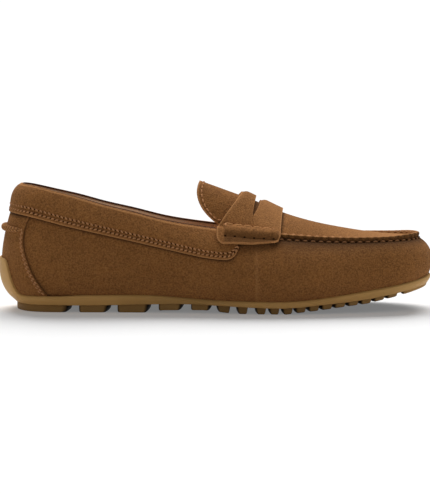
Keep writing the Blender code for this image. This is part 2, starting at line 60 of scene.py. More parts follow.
# The last by place round the shoe: 0 is the heel, 1 the heel's side, 2 the toe's side, 3 the toe.
# place, foot, belly, shoulder and rim distances on the outer side, the same on the inner side,
# then the heights of belly and shoulder as shares of the wall
PLAN = np.array((
    (0.00, 22.2, 43.0, 21.0, 18.6, 22.2, 43.0, 21.0, 18.6, 0.19, 0.90),
    (0.50, 24.8, 43.0, 24.0, 18.4, 24.8, 43.0, 24.0, 18.4, 0.19, 0.88),
    (1.00, 30.5, 41.5, 28.0, 20.5, 30.0, 41.0, 28.0, 20.5, 0.18, 0.84),
    (1.25, 31.5, 42.0, 34.0, 25.5, 28.0, 38.0, 32.5, 25.5, 0.20, 0.76),
    (1.50, 36.5, 49.5, 42.0, 29.0, 28.5, 43.5, 39.5, 29.0, 0.28, 0.75),
    (1.75, 43.5, 56.5, 50.0, 32.5, 40.5, 55.0, 49.0, 32.0, 0.32, 0.80),
    (2.00, 36.0, 47.0, 43.5, 28.5, 41.5, 53.0, 48.5, 31.5, 0.34, 0.84),
    (2.50, 37.0, 45.0, 43.0, 29.5, 43.0, 51.0, 48.5, 34.5, 0.35, 0.85),
    (3.00, 43.0, 49.5, 47.5, 36.0, 43.0, 49.5, 47.5, 36.0, 0.35, 0.84),
))
# x, lug roots, top of the side band
SOLE = np.array((
    (-146.0, 4.9, 11.4), (-110.0, 4.9, 11.4), (-75.0, 5.0, 11.4), (-36.0, 5.9, 11.2), (-15.0, 6.0, 9.6),
    (4.0, 5.3, 8.5), (27.0, 4.4, 8.2), (50.0, 4.4, 8.4), (66.0, 5.8, 9.7), (83.0, 7.3, 12.0),
    (105.0, 10.0, 15.4), (120.0, 12.8, 18.0), (139.0, 16.9, 22.4), (147.0, 18.8, 24.4),
))
# x, bottom of the tread
TREAD = np.array((
    (-146.0, 0.0), (-46.0, 0.0), (-34.0, 1.6), (-8.0, 2.0), (4.0, 0.9), (12.0, 0.0), (46.0, 0.0),
    (57.0, 1.3), (66.0, 2.2), (83.0, 4.2), (99.0, 6.0), (116.0, 9.7), (138.0, 14.9), (147.0, 17.2),
))
# x, top edge of the wall
RIM = np.array((
    (-140.0, 85.0), (-130.0, 83.5), (-107.0, 78.2), (-91.0, 74.4), (-75.0, 69.9), (-55.0, 65.2),
    (-36.0, 60.3), (-16.0, 56.7), (1.0, 54.4), (22.0, 52.0), (45.0, 49.7), (70.0, 47.9),
    (95.0, 47.1), (120.0, 47.4), (142.0, 47.8),
))
# x, middle line of apron and tongue
CROWN = np.array((
    (-20.0, 88.2), (-10.0, 84.8), (3.0, 80.4), (15.0, 76.0), (28.0, 70.8), (46.0, 63.3), (57.0, 59.8),
    (70.0, 56.5), (84.0, 53.8), (97.0, 51.6), (110.0, 49.9), (125.0, 48.5), (142.0, 47.8),
))
# start and end of each block under heel and waist
LUGS = ((-132.1, -97.6), (-89.4, -71.6), (-64.2, -45.0), (-37.2, -23.0), (-16.0, -4.3))
SMALL_LUGS = ((1.6, 9.8), (14.6, 21.2))
TOE_LUG = (122.3, 141.1)


def spline(rows, x):
    """Natural cubic spline through rows of (x, values...) read at x."""
    xs, ys = rows[:, 0], rows[:, 1:]
    h = np.diff(xs)
    slope = np.diff(ys, axis=0) / h[:, None]
    a = np.eye(len(xs))
    b = np.zeros_like(ys)
    for i in range(1, len(xs) - 1):
        a[i, i - 1:i + 2] = h[i - 1], 2 * (h[i - 1] + h[i]), h[i]
        b[i] = 6 * (slope[i] - slope[i - 1])
    m = np.linalg.solve(a, b)
    x = np.clip(x, xs[0], xs[-1])
    i = np.clip(np.searchsorted(xs, x) - 1, 0, len(xs) - 2)
    u = (x - xs[i])[..., None]
    k = h[i][..., None]
    first = slope[i] - k * (2 * m[i] + m[i + 1]) / 6
    return ys[i] + u * first + u**2 * m[i] / 2 + u**3 * (m[i + 1] - m[i]) / (6 * k)


def read(rows, x, column=0):
    """One column of a table at x, along its spline."""
    return spline(rows, np.asarray(x, float))[..., column]


def closed_plan():
    """The plan for both sides as one loop, repeated before and after so that its spline closes."""
    outer = PLAN[:, (0, 1, 2, 3, 4, 9, 10)]
    inner = PLAN[1:-1, (0, 5, 6, 7, 8, 9, 10)]
    inner[:, 0] *= -1
    loop = np.vstack((inner[::-1], outer))
    shift = np.array((6.0, 0, 0, 0, 0, 0, 0))
    return np.vstack((loop - shift, loop, loop + shift))


PLAN_LOOP = closed_plan()


def soft(x):
    """Smooth ramp: nought below zero, x above."""
    return TURN_EASE * np.logaddexp(0, x / TURN_EASE)


def ramp(x, start, length):
    """Nought up to start, then straight up to one over a length; a length below nought runs backwards."""
    return np.clip((x - start) / length, 0, 1)


def bell(x, middle, reach, power=2):
    """One at the middle and falling to both sides: exp of minus the distance over the reach, to a power."""
    return np.exp(-((x - middle) / reach)**power)


def spoke(q):
    """Where the section at place q starts on the middle line, and the cosine and sine of the way it faces."""
    n = np.abs(q)
    along = soft(n - 1) - soft(n - 2)
    turn = soft(q + 1) - soft(q - 1) - 1 + np.sign(q) * (soft(n - 2) - soft(n - 4))
    angle = np.pi * (1 + turn / 2)
    return HEEL_PIVOT + (TOE_PIVOT - HEEL_PIVOT) * along, np.cos(angle), np.sin(angle)


def place_at(x):
    """Place on the outer side whose section crosses the middle line at x."""
    return 1 + (x - HEEL_PIVOT) / (TOE_PIVOT - HEEL_PIVOT)


def floor_z(x):
    """Height of the sole's inner floor: a share of the way from the lug roots to the band's top."""
    root, band = read(SOLE, x, 0), read(SOLE, x, 1)
    return root + FLOOR_SHARE * (band - root)


def rim_line():
    """Rim of both sides as half-width by x, for the apron between them."""
    q = np.linspace(1.0, 3.0, 400)
    sides = []
    for s in (1, -1):
        o, c, d = spoke(s * q)
        r = spline(PLAN_LOOP, s * q)[..., 3]
        sides.append((o + r * c, np.abs(r * d)))
    return sides


RIM_OUTER, RIM_INNER = rim_line()


def apron_z(x, y):
    """Height of the apron: a parabola across, from the rim on either side up to the crown line."""
    half = np.where(y < 0, np.interp(x, *RIM_OUTER), np.interp(x, *RIM_INNER))
    u = np.clip(np.abs(y) / np.maximum(half, 0.001), 0, 1)
    rim = read(RIM, x)
    return rim + (read(CROWN, x) - rim) * (1 - u**2)


def skin(q, g):
    """Outer face of the last at place q and girth g: girth 0 is the foot edge, 1 the rim, 2 the crown, and on
    to 4 down the other side. The wall is a cubic Bezier curve from foot through belly and shoulder to rim."""
    q, g = np.broadcast_arrays(np.asarray(q, float), np.asarray(g, float))
    over = g > 2
    q, g = np.where(over, -q, q), np.where(over, 4 - g, g)
    q = (q + 3) % 6 - 3
    o, c, s = spoke(q)
    foot, belly, shoulder, rim, belly_h, shoulder_h = np.moveaxis(spline(PLAN_LOOP, q), -1, 0)
    low = floor_z(o + foot * c) + GAP
    high = read(RIM, o + rim * c)
    t = np.clip(g, 0, 1)
    a = np.clip(g - 1, 0, 1)
    b0, b1, b2, b3 = (1 - t)**3, 3 * t * (1 - t)**2, 3 * t**2 * (1 - t), t**3
    r = b0 * foot + b1 * belly + b2 * shoulder + b3 * rim
    z = low + (high - low) * (b1 * belly_h + b2 * shoulder_h + b3)
    x, y = o + r * c * (1 - a), r * s * (1 - a)
    z = np.where(a > 0, apron_z(x, y), z)
    return np.stack((x, y, z), axis=-1)


def unit(v):
    """Vectors divided by their lengths."""
    return v / np.maximum(np.linalg.norm(v, axis=-1, keepdims=True), 1e-9)


def outward(q, g):
    """Unit normal of the skin from small steps in place and girth, softened across the rim."""
    dq, dg = 0.01, 0.05
    g = np.maximum(g, dg)
    return unit(np.cross(skin(q + dq, g) - skin(q - dq, g), skin(q, g + dg) - skin(q, g - dg)))


def lifted(q, g, height, top=4.0):
    """Skin moved out along its normal by a height; the normal is read no higher than girth top."""
    q, g, height = np.broadcast_arrays(q, g, height)
    return skin(q, g) + outward(q, np.minimum(g, top)) * height[..., None]


def girth_at(q, z):
    """Girth at which the wall at place q has height z, by halving."""
    q, z = np.broadcast_arrays(np.asarray(q, float), np.asarray(z, float))
    low, high = np.zeros(q.shape), np.ones(q.shape)
    for _ in range(24):
        mid = (low + high) / 2
        under = skin(q, mid)[..., 2] < z
        low, high = np.where(under, mid, low), np.where(under, high, mid)
    return (low + high) / 2


def around(heel, side, toe):
    """Places once round the shoe from just past -3 to 3, with a number of steps for heel, side and toe."""
    half = np.concatenate((
        np.linspace(0, 1, heel, endpoint=False),
        np.linspace(1, 2, side, endpoint=False),
        np.linspace(2, 3, toe),
    ))
    return np.concatenate((-half[-2:0:-1], half))


def grid(points, wrap=False, **marks):
    """Points of a grid, row by row, with its quads and any values kept per point; wrap closes every row."""
    rows, cols = points.shape[-3:-1]
    i, j = np.meshgrid(np.arange(rows - 1), np.arange(cols if wrap else cols - 1), indexing="ij")
    k = (j + 1) % cols
    corners = (i * cols + j, i * cols + k, (i + 1) * cols + k, (i + 1) * cols + j)
    quads = np.stack(corners, axis=-1).reshape(-1, 4)
    flat = points.reshape(-1, 3)
    starts = np.arange(0, len(flat), rows * cols)
    quads = (quads[None] + starts[:, None, None]).reshape(-1, 4)
    values = {key: np.broadcast_to(value, points.shape[:-1]).reshape(-1) for key, value in marks.items()}
    return flat, quads, values


def piece(name, parts, materials, stands_for=None, closed=True):
    """Mesh object from grids in millimetres, its doubles merged, riding on the shoe's one body. A closed
    shell gets its normals worked out; an open sheet is turned to look away from the shoe's middle."""
    points = np.vstack([p for p, _, _ in parts])
    starts = np.cumsum([0] + [len(p) for p, _, _ in parts[:-1]])
    quads = np.vstack([f + s for (_, f, _), s in zip(parts, starts)])
    if not closed:
        a, b, c = points[quads[:, 0]], points[quads[:, 1]], points[quads[:, 3]]
        away = a * (0, 1, 1) - (0, 0, 30.0)
        if np.sum(np.cross(b - a, c - a) * away) < 0:
            quads = quads[:, ::-1]
    mesh = bpy.data.meshes.new(name)
    mesh.from_pydata((points * MM).tolist(), [], quads.tolist(), shade_flat=False)
    for key in sorted({key for _, _, values in parts for key in values}):
        values = np.concatenate([v.get(key, np.zeros(len(p))) for p, _, v in parts])
        mesh.attributes.new(key, "FLOAT", "POINT").data.foreach_set("value", values.astype(np.float32))
    bm = bmesh.new()
    bm.from_mesh(mesh)
    bmesh.ops.remove_doubles(bm, verts=bm.verts, dist=0.000004)
    if closed:
        bmesh.ops.recalc_face_normals(bm, faces=bm.faces)
    bm.to_mesh(mesh)
    bm.free()
    for mat in materials:
        mesh.materials.append(mat)
    made = bpy.data.objects.new(name, mesh)
    bpy.context.scene.collection.objects.link(made)
    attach(made, "root")
    if stands_for:
        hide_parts(stands_for)
    return made


def linear(code):
    """sRGB hex colour as linear red, green and blue with full alpha."""
    c = np.array([int(code[i:i + 2], 16) for i in (1, 3, 5)]) / 255
    return (*np.where(c <= 0.04045, c / 12.92, ((c + 0.055) / 1.055)**2.4).tolist(), 1.0)


def new_material(name):
    """Empty node material."""
    mat = bpy.data.materials.new(name)
    mat.use_nodes = True
    mat.node_tree.nodes.clear()
    return mat


def node(mat, kind, sockets=None, **settings):
    """Adds a node. Settings are its properties; sockets are inputs by name, a value or (node, output)."""
    tree = mat.node_tree
    made = tree.nodes.new(kind)
    for key, value in settings.items():
        setattr(made, key, value)
    inputs = {s.identifier: s for s in made.inputs}
    for key, value in (sockets or {}).items():
        if isinstance(value, tuple) and isinstance(value[0], bpy.types.Node):
            outputs = {s.identifier: s for s in value[0].outputs}
            tree.links.new(outputs[value[1]], inputs[key])
        else:
            inputs[key].default_value = value
    return made


# Gum rubber, moulded: honey brown, a little uneven in tone, satin where it is smooth. Its shade mark is
# painted shade, near black in the tread; its edge mark is painted light. The specks are the fine pebble of
# the mould.
gum_rubber = new_material("moulded_gum_rubber")
place = node(gum_rubber, "ShaderNodeTexCoord")
cloud = node(gum_rubber, "ShaderNodeTexNoise", {
    "Vector": (place, "Object"), "Scale": 1 / 0.018, "Detail": 3.0})
speck = node(gum_rubber, "ShaderNodeTexNoise", {
    "Vector": (place, "Object"), "Scale": 1 / 0.0011, "Detail": 2.0})
gum_painted_shade = node(gum_rubber, "ShaderNodeAttribute", attribute_name="shade")
gum_painted_light = node(gum_rubber, "ShaderNodeAttribute", attribute_name="edge")
tone = linear("#b98d50")
for cause, colour in ((cloud, "#cda063"), (gum_painted_light, "#c4a577"), (gum_painted_shade, "#150c05")):
    mix = node(gum_rubber, "ShaderNodeMix", {
        "Factor_Float": (cause, "Fac"), "A_Color": tone, "B_Color": linear(colour)}, data_type="RGBA")
    tone = (mix, "Result_Color")
gloss = node(gum_rubber, "ShaderNodeMapRange", {
    "Value": (cloud, "Fac"), "From Min": 0.3, "From Max": 0.7, "To Min": 0.5, "To Max": 0.66})
pebble = node(gum_rubber, "ShaderNodeBump", {"Height": (speck, "Fac"), "Strength": 0.18, "Distance": 0.0003})
shader = node(gum_rubber, "ShaderNodeBsdfPrincipled", {
    "Base Color": tone, "Roughness": (gloss, "Result"), "Normal": (pebble, "Normal"),
    "IOR": 1.52, "Specular IOR Level": 0.1})
node(gum_rubber, "ShaderNodeOutputMaterial", {"Surface": (shader, "BSDF")})


def foot_r(q):
    """Distance of the foot edge from the middle line."""
    return spline(PLAN_LOOP, q)[..., 0]


def tab_share(q):
    """How far the rubber has climbed from the band's line, nought, to the heel tab, one: a logistic step."""
    return 1 / (1 + np.exp((np.abs(q) - TAB_HALF) / TAB_EASE))


def lip_z(q):
    """Top of the rubber round the shoe: the band's line, raised into a tab at the heel."""
    o, c, _ = spoke(q)
    band = read(SOLE, o + foot_r(q) * c, 1)
    return band + (TAB_TOP - band) * tab_share(q)


def ladder(loop, half, rungs=13):
    """Grid that fills a loop of points: straight rungs across from the outer to the inner side."""
    start = (len(loop) - 1) // 2
    k = np.arange(half + 1)
    one, two = loop[(start + k) % len(loop)], loop[(start - k) % len(loop)]
    w = np.linspace(0, 1, rungs)[None, :, None]
    return one[:, None] * (1 - w) + two[:, None] * w


sole_q = around(80, 90, 60)
tab = tab_share(sole_q)
over_strip = ramp(np.abs(sole_q), 1.10, -0.10) * (STRIP_THICK + GAP)
lip_g = girth_at(sole_q, lip_z(sole_q))
start_g = girth_at(sole_q, floor_z(skin(sole_q, 0.0)[:, 0]) + GAP + 0.75 * over_strip)
band_up = np.linspace(0, 1, 16)[:, None]
band_g = (start_g + band_up * (lip_g - start_g)) * 0.985
band_stand = GAP + BAND_THICK
flare = (BAND_FLARE + (TAB_FLARE - BAND_FLARE) * tab) * (1 - band_up)
face = lifted(sole_q, band_g, over_strip + band_stand + flare + BAND_BULGE * np.sin(np.pi * band_up))
face[0, :, 2] = np.minimum(face[0, :, 2], floor_z(face[0, :, 0]) + 0.4)
lip_turn = np.linspace(0, np.pi, 8)[1:, None]
lip = lifted(sole_q, band_g[-1:], over_strip - 0.1 + (band_stand + 0.1) * (1 + np.cos(lip_turn)) / 2)
lip[..., 2] += LIP_ROUND * np.sin(lip_turn)
o, c, s = spoke(sole_q)
root_r = foot_r(sole_q) + ROOT_REACH
root = np.stack((o + root_r * c, root_r * s, read(SOLE, o + root_r * c, 0)), axis=-1)
tuck = root - np.stack((ROOT_TUCK * c, ROOT_TUCK * s, GAP + 0 * c), axis=-1)
fall = np.linspace(1, 0, 12)[1:-1, None]
inner_face = lifted(sole_q, band_g[-1:] * fall, over_strip * fall + 0.05)
inner_foot = skin(sole_q, 0.0)
inner_foot[:, 2] = floor_z(inner_foot[:, 0])
band_rows = np.concatenate((tuck[None], root[None], face, lip, inner_face, inner_foot[None]))
lip_x = face[-1, :, 0]
# painted light: paler on the heel tab and towards the toe
tab_toe_painted_light = 0.2 * tab + 0.15 * ramp(lip_x, 90, 40)
# painted shade: dimmer along the waist of the band
waist_painted_shade = 0.25 * bell(lip_x, -20, 35)
half_count = len(sole_q) // 2
# the sole's underside between the blocks takes full painted shade, near black
sole_parts = [grid(band_rows, wrap=True, edge=tab_toe_painted_light, shade=waist_painted_shade),
              grid(ladder(band_rows[0], half_count), shade=1.0), grid(ladder(band_rows[-1], half_count))]

tread_q = np.linspace(0, 3, 900)
TREAD_EDGE = {}
for hand in (1, -1):
    o, c, s = spoke(hand * tread_q)
    tread_r = foot_r(hand * tread_q) + TREAD_REACH
    TREAD_EDGE[hand] = (o + tread_r * c, np.abs(tread_r * s))


def edge_y(x, hand):
    """Half-width of the tread at x on the outer side, 1, or the inner side, -1."""
    return np.interp(x, *TREAD_EDGE[hand])


def lug_plan():
    """Rounded square from 0 to 1 both ways, walked at an even pace: each point of a plain square's edge is
    drawn towards the middle near the corners."""
    t = np.linspace(-1, 1, 13)[:-1]
    one = np.ones_like(t)
    xy = np.concatenate([np.stack(side, 1) for side in ((t, -one), (one, t), (-t, one), (-one, -t))])
    return xy / np.maximum(np.linalg.norm(xy, ord=14, axis=1, keepdims=True), 1) / 2 + 0.5


def lug(x0, x1, y_from, y_to, base_shade, slant=0.0, draft=(0.0, 0.0)):
    """One block of the tread: the rounded plan stacked in rings from a bevelled tread face up into the sole.
    y_from and y_to give its sides at x. Towards y_to a slant carries the toe-side face forward or, below
    nought, the heel-side face back. Draft brings the two faces together towards the tread face."""
    plan = lug_plan()[None]
    # inset and share of the height, from the middle of the tread face over its bevel, up and in again
    rings = np.array(((60, 0), (0.7, 0), (0.3, 0.05), (0.08, 0.15), (0, 0.4), (0, 1), (60, 1)))
    inset, up = rings[:, :1], rings[:, 1:]
    s = 0.5 + (plan[..., 0] - 0.5) * np.maximum(1 - 2 * inset / (x1 - x0), 0)
    x = x0 + (x1 - x0) * s
    wide = np.abs(y_to(x) - y_from(x))
    t = 0.5 + (plan[..., 1] - 0.5) * np.maximum(1 - 2 * inset / np.maximum(wide, 1.0), 0)
    y = y_from(x) + (y_to(x) - y_from(x)) * t
    slanted = slant * np.clip(t, 0, 1)**0.4 * (s if slant > 0 else 1 - s)
    x = x + slanted + (draft[0] * (1 - s) - draft[1] * s) * (1 - up)
    low, high = np.interp(x, *TREAD.T), read(SOLE, x, 0) + LUG_SUNK
    in_from_side = np.where(y < 0, edge_y(x, 1), edge_y(x, -1)) - np.abs(y)
    # painted shade: the block's base amount, a little more towards the tread face, near black on faces deeper
    # in from the sole's side, where the gaps between blocks lie in shade
    shade = base_shade + 0.10 * (1 - up) + 0.8 * ramp(in_from_side, 0.25, 0.9)
    return grid(np.stack((x, y, low + (high - low) * up), axis=-1), wrap=True, shade=np.minimum(shade, 1.0))


for x0, x1 in LUGS:
    for hand in (1, -1):
        sole_parts.append(lug(
            x0, x1, lambda x: -hand * np.maximum(edge_y(x, hand), LUG_CHANNEL + 0.3),
            lambda x: -hand * (LUG_CHANNEL + 0 * x), LUG_SHADE, LUG_SLANT, LUG_DRAFT))
peg_x = PEG_FIRST_X + PEG_PITCH * np.arange(PEG_ROWS)
for x0, x1 in (*SMALL_LUGS, *np.stack((peg_x - PEG_LENGTH / 2, peg_x + PEG_LENGTH / 2), axis=1)):
    slant, base_shade, heel_draft = (np.interp(x0, PEG_TURN, at) for at in (PEG_SLANT, PEG_SHADE, PEG_HEEL_DRAFT))
    middle = (x0 + x1) / 2
    count = int(np.round((edge_y(middle, 1) + edge_y(middle, -1)) / PEG_STEP_Y))
    for k in range(count):
        near, far = (k, k + PEG_FILL) if k < count / 2 else (k + 1, k + 1 - PEG_FILL)
        sole_parts.append(lug(
            x0, x1, lambda x: -edge_y(x, 1) + (edge_y(x, 1) + edge_y(x, -1)) * near / count,
            lambda x: -edge_y(x, 1) + (edge_y(x, 1) + edge_y(x, -1)) * far / count,
            base_shade, slant, (heel_draft, PEG_TOE_DRAFT)))
sole_parts.append(lug(*TOE_LUG, lambda x: -edge_y(x, 1), lambda x: edge_y(x, -1), TOE_SHADE))
piece("gum_outsole", sole_parts, [gum_rubber], "outsole")

# Insole
# Board with a thin leather sock glued over it, laid on the sole's floor inside the upper. It is seen only
# down the mouth of the shoe, a little dished under the foot.
INSOLE_THICK, INSOLE_INSET, INSOLE_DISH = 3.0, 2.2, 0.9

# Smooth lining leather, aniline dyed: pinkish tan, fine pores, soft low gloss, dark where its edge is inked.
lining_leather = new_material("smooth_lining_leather")
place = node(lining_leather, "ShaderNodeTexCoord")
pores = node(lining_leather, "ShaderNodeTexVoronoi", {
    "Vector": (place, "Object"), "Scale": 1 / 0.0012}, feature="SMOOTH_F1")
patch = node(lining_leather, "ShaderNodeTexNoise", {
    "Vector": (place, "Object"), "Scale": 1 / 0.012, "Detail": 3.0})
inked = node(lining_leather, "ShaderNodeAttribute", attribute_name="edge")
hide = node(lining_leather, "ShaderNodeMix", {
    "Factor_Float": (patch, "Fac"), "A_Color": linear("#d8ae88"), "B_Color": linear("#e8c4a0")},
    data_type="RGBA")
trim = node(lining_leather, "ShaderNodeMix", {
    "Factor_Float": (inked, "Fac"), "A_Color": (hide, "Result_Color"), "B_Color": linear("#4a2c18")},
    data_type="RGBA")
grain = node(lining_leather, "ShaderNodeBump", {
    "Height": (pores, "Distance"), "Strength": 0.25, "Distance": 0.0003})
shader = node(lining_leather, "ShaderNodeBsdfPrincipled", {
    "Base Color": (trim, "Result_Color"), "Roughness": 0.75, "Normal": (grain, "Normal"), "IOR": 1.5,
    "Specular IOR Level": 0.1})
node(lining_leather, "ShaderNodeOutputMaterial", {"Surface": (shader, "BSDF")})

board_q = np.linspace(0.0, 3.0, 120)
board_sides = []
for hand in (1, -1):
    o, c, s = spoke(hand * board_q)
    board_r = foot_r(hand * board_q) - INSOLE_INSET
    board_sides.append(np.stack((o + board_r * c, board_r * s), axis=-1)[:, None])
board_turn = np.linspace(0, 2 * np.pi, 48, endpoint=False)[None, :]
across = np.sign(np.cos(board_turn)) * np.abs(np.cos(board_turn))**0.45
board_up = np.sign(np.sin(board_turn)) * np.abs(np.sin(board_turn))**0.6
outer, inner = board_sides
board_plan = (outer + inner) / 2 + (inner - outer) / 2 * across[..., None]
board_z = (floor_z(board_plan[..., 0]) + GAP + INSOLE_THICK * (1 + board_up) / 2
           + INSOLE_DISH * across**4 * (board_up > 0))
piece("leather_insole", [grid(np.dstack((board_plan, board_z)), wrap=True)], [lining_leather], "insole")

# Upper
# Suede wall and apron with a leather lining behind them, drawn over the last and left hollow, open at the
# collar. The wall rolls in under the foot and is cemented to the sole. The lining's cut edge stands just
# above the suede.
UPPER_WALL, THROAT_X, SIDE_SEAM_X = 2.0, 22.0, 27.0
THROAT = place_at(THROAT_X)
# lengths of one step of girth up the wall and over the apron, and of one step of place round the heel
WALL_GIRTH, APRON_GIRTH, HEEL_QUARTER = 48.0, 33.0, 67.0
PUCKER_PITCH, PUCKER_RISE, PUCKER_FADE, SWELL_RISE = 5.2, 0.16, 4.0, 0.30
# how far the shade reaches that collar band and heel strip, the apron seam and the strap cast on the wall
EDGE_SHADE_REACH, SEAM_SHADE_REACH, STRAP_SHADE_REACH = 1.2, 10.0, 4.0
# where the strap will lie, for the shade under it
STRAP_LOW_BACK_Z, STRAP_LOW_FRONT_Z, STRAP_FRONT_CROWN_X, STRAP_FRONT_SIDE_X = 44.5, 44.9, 44.9, 42.2
# how far the suede stops below the rim behind the throat, as a share of the girth; the sewn joint at the side
COLLAR_DROP, SIDE_SEAM_HALF, SIDE_SEAM_DEPTH = 0.035, 0.7, 0.35
# height, half-width of the heel strip in steps of place
STRIP_FOOT_Z, STRIP_TOP_Z, STRIP_TUCK = 11.2, 64.0, 1.0
STRIP = np.array((
    (8.0, 0.945), (11.4, 0.92), (18.9, 0.86), (26.7, 0.79), (35.8, 0.72), (43.0, 0.67), (50.5, 0.65),
    (57.0, 0.66), (66.0, 0.73),
))
# x, lower edge of the collar band
COLLAR_END_X, COLLAR_CORNER = 15.0, 9.0
COLLAR = np.array((
    (-142.0, 65.8), (-132.0, 64.7), (-120.0, 62.6), (-106.0, 58.7), (-79.0, 52.2), (-55.0, 47.0),
    (-41.0, 43.9), (-18.0, 38.8), (-2.0, 36.0), (16.0, 35.4),
))

# Brushed suede, split leather with its nap raised: matt brown with a soft bloom at glancing angles, cloudy
# where the nap lies differently, and short fibres. The fibres are drawn about twice as coarse as real ones so
# that they show.
brushed_suede = new_material("brushed_suede")
place = node(brushed_suede, "ShaderNodeTexCoord")
fibre = node(brushed_suede, "ShaderNodeTexNoise", {
    "Vector": (place, "Object"), "Scale": 1 / 0.0010, "Detail": 3.0, "Roughness": 0.65})
brushed = node(brushed_suede, "ShaderNodeTexNoise", {
    "Vector": (place, "Object"), "Scale": 1 / 0.0065, "Detail": 3.0, "Roughness": 0.6})
cloud = node(brushed_suede, "ShaderNodeTexNoise", {
    "Vector": (place, "Object"), "Scale": 1 / 0.035, "Detail": 2.0})
fibre_range = node(brushed_suede, "ShaderNodeMapRange", {
    "Value": (fibre, "Fac"), "From Min": 0.37, "From Max": 0.63, "To Min": 0.0, "To Max": 1.0})
# edge mark: lighter suede, its own paler colour at cut edges and painted highlight elsewhere; shade mark:
# darker suede, painted shade (along the collar's sewn rows partly the pierced suede too)
lighter_edge_and_highlight = node(brushed_suede, "ShaderNodeAttribute", attribute_name="edge")
suede_painted_shade = node(brushed_suede, "ShaderNodeAttribute", attribute_name="shade")
stroke = node(brushed_suede, "ShaderNodeMapRange", {
    "Value": (brushed, "Fac"), "From Min": 0.45, "From Max": 0.75, "To Min": 0.0, "To Max": 0.3})
shadow = node(brushed_suede, "ShaderNodeMapRange", {
    "Value": (cloud, "Fac"), "From Min": 0.4, "From Max": 0.7, "To Min": 0.0, "To Max": 0.2})
tone = linear("#714824")
for cause, output, colour in (
        (fibre_range, "Result", "#9d6b3b"), (stroke, "Result", "#a46d38"), (shadow, "Result", "#6a421f"),
        (suede_painted_shade, "Fac", "#2a180b"), (lighter_edge_and_highlight, "Fac", "#bd8654")):
    mix = node(brushed_suede, "ShaderNodeMix", {
        "Factor_Float": (cause, output), "A_Color": tone, "B_Color": linear(colour)}, data_type="RGBA")
    tone = (mix, "Result_Color")
fuzz = node(brushed_suede, "ShaderNodeBump", {"Height": (fibre, "Fac"), "Strength": 0.8, "Distance": 0.0008})
lie = node(brushed_suede, "ShaderNodeBump", {
    "Height": (brushed, "Fac"), "Strength": 0.35, "Distance": 0.0012, "Normal": (fuzz, "Normal")})
shader = node(brushed_suede, "ShaderNodeBsdfPrincipled", {
    "Base Color": tone, "Roughness": 0.95, "Normal": (lie, "Normal"), "IOR": 1.45,
    "Specular IOR Level": 0.15, "Sheen Weight": 0.12, "Sheen Roughness": 0.5,
    "Sheen Tint": linear("#d9a878")})
node(brushed_suede, "ShaderNodeOutputMaterial", {"Surface": (shader, "BSDF")})


def thicken(sheet, thick, back=0, rim=0, bevel=0.0):
    """Gives an open sheet its thickness inward and rounds its cut edge. Back and rim say how many steps on in
    its list of materials theirs are."""
    body = sheet.modifiers.new("thickness", "SOLIDIFY")
    body.thickness = thick * MM
    body.offset = -1.0
    body.material_offset = back
    body.material_offset_rim = rim
    if bevel:
        round_edge = sheet.modifiers.new("edge", "BEVEL")
        round_edge.width = bevel * MM
        round_edge.segments = 2
        round_edge.angle_limit = np.radians(50)


def seam_arc(q):
    """Length along the apron seam from its outer end at the throat round the toe, with q from 0 to 6."""
    table = np.linspace(1.3, 4.7, 1400)
    step = np.linalg.norm(np.diff(skin(table, 1.0), axis=0), axis=-1)
    return np.interp(q % 6, table, np.concatenate(([0], np.cumsum(step))))


def ahead_of_throat(q):
    """Nought behind the throat and one ahead of it, with a short ramp between."""
    return ramp(np.abs(q), THROAT, 0.06)


def pull(q, g):
    """Drawn-up suede either side of the apron seam: shallow ribs at the stitch pitch that die away in about
    five millimetres, over a low swell that keeps the wall from looking pressed."""
    far = np.abs(g - 1) * np.where(g < 1, WALL_GIRTH, APRON_GIRTH)
    beat = 2 * np.pi * seam_arc(q) / PUCKER_PITCH
    ribs = PUCKER_RISE * np.cos(beat) * np.exp(-far / PUCKER_FADE) * ahead_of_throat(q)
    x = skin(q, np.minimum(g, 1.0))[..., 0]
    waves = np.sin(x / 17.0 + 3.0 * g) * np.cos(x / 41.0 + 1.0)
    return ribs + SWELL_RISE * waves * np.sin(np.pi * np.clip(g, 0, 1))


def collar_low(x):
    """Lower edge of the collar band, turned up in a quarter circle at its front end."""
    corner = np.clip(x - (COLLAR_END_X - COLLAR_CORNER), 0, COLLAR_CORNER * 0.999)
    return read(COLLAR, x) + COLLAR_CORNER - np.sqrt(COLLAR_CORNER**2 - corner**2)


def rim_x(q):
    """Where the rim at place q lies along the shoe."""
    return skin(q, 1.0)[..., 0]


def strip_half(height):
    """Half-width of the heel strip in place, at a share of its height."""
    return read(STRIP, STRIP_FOOT_Z + (STRIP_TOP_Z - STRIP_FOOT_Z) * height)


def under_collar(q, z):
    """Painted shade just below the collar band: a bell curve down from its lower edge."""
    return 0.85 * bell(np.maximum(collar_low(rim_x(q)) - z, 0), 0, EDGE_SHADE_REACH)


def contact(q, z):
    """Painted shade on the wall just outside the edges laid over it: bell curves down from the lower edges
    of the collar band and the strap, and another forward from the heel strip's edge."""
    x = rim_x(q)
    collar_shade = under_collar(q, z) * (np.abs(q) < place_at(COLLAR_END_X))
    below_strap = np.maximum((STRAP_LOW_BACK_Z + STRAP_LOW_FRONT_Z) / 2 - z, 0)
    strap_shade = 0.4 * bell(below_strap, 0, STRAP_SHADE_REACH) * ramp(x, 4, 8) * ramp(x, 50, -8)
    height = (z - STRIP_FOOT_Z) / (collar_low(x) + STRIP_TUCK - STRIP_FOOT_Z)
    beside_strip = np.maximum((np.abs(q) - strip_half(height)) * HEEL_QUARTER, 0)
    strip_shade = 0.7 * bell(beside_strip, 0, EDGE_SHADE_REACH)
    return np.maximum(np.maximum(collar_shade, strap_shade), strip_shade)


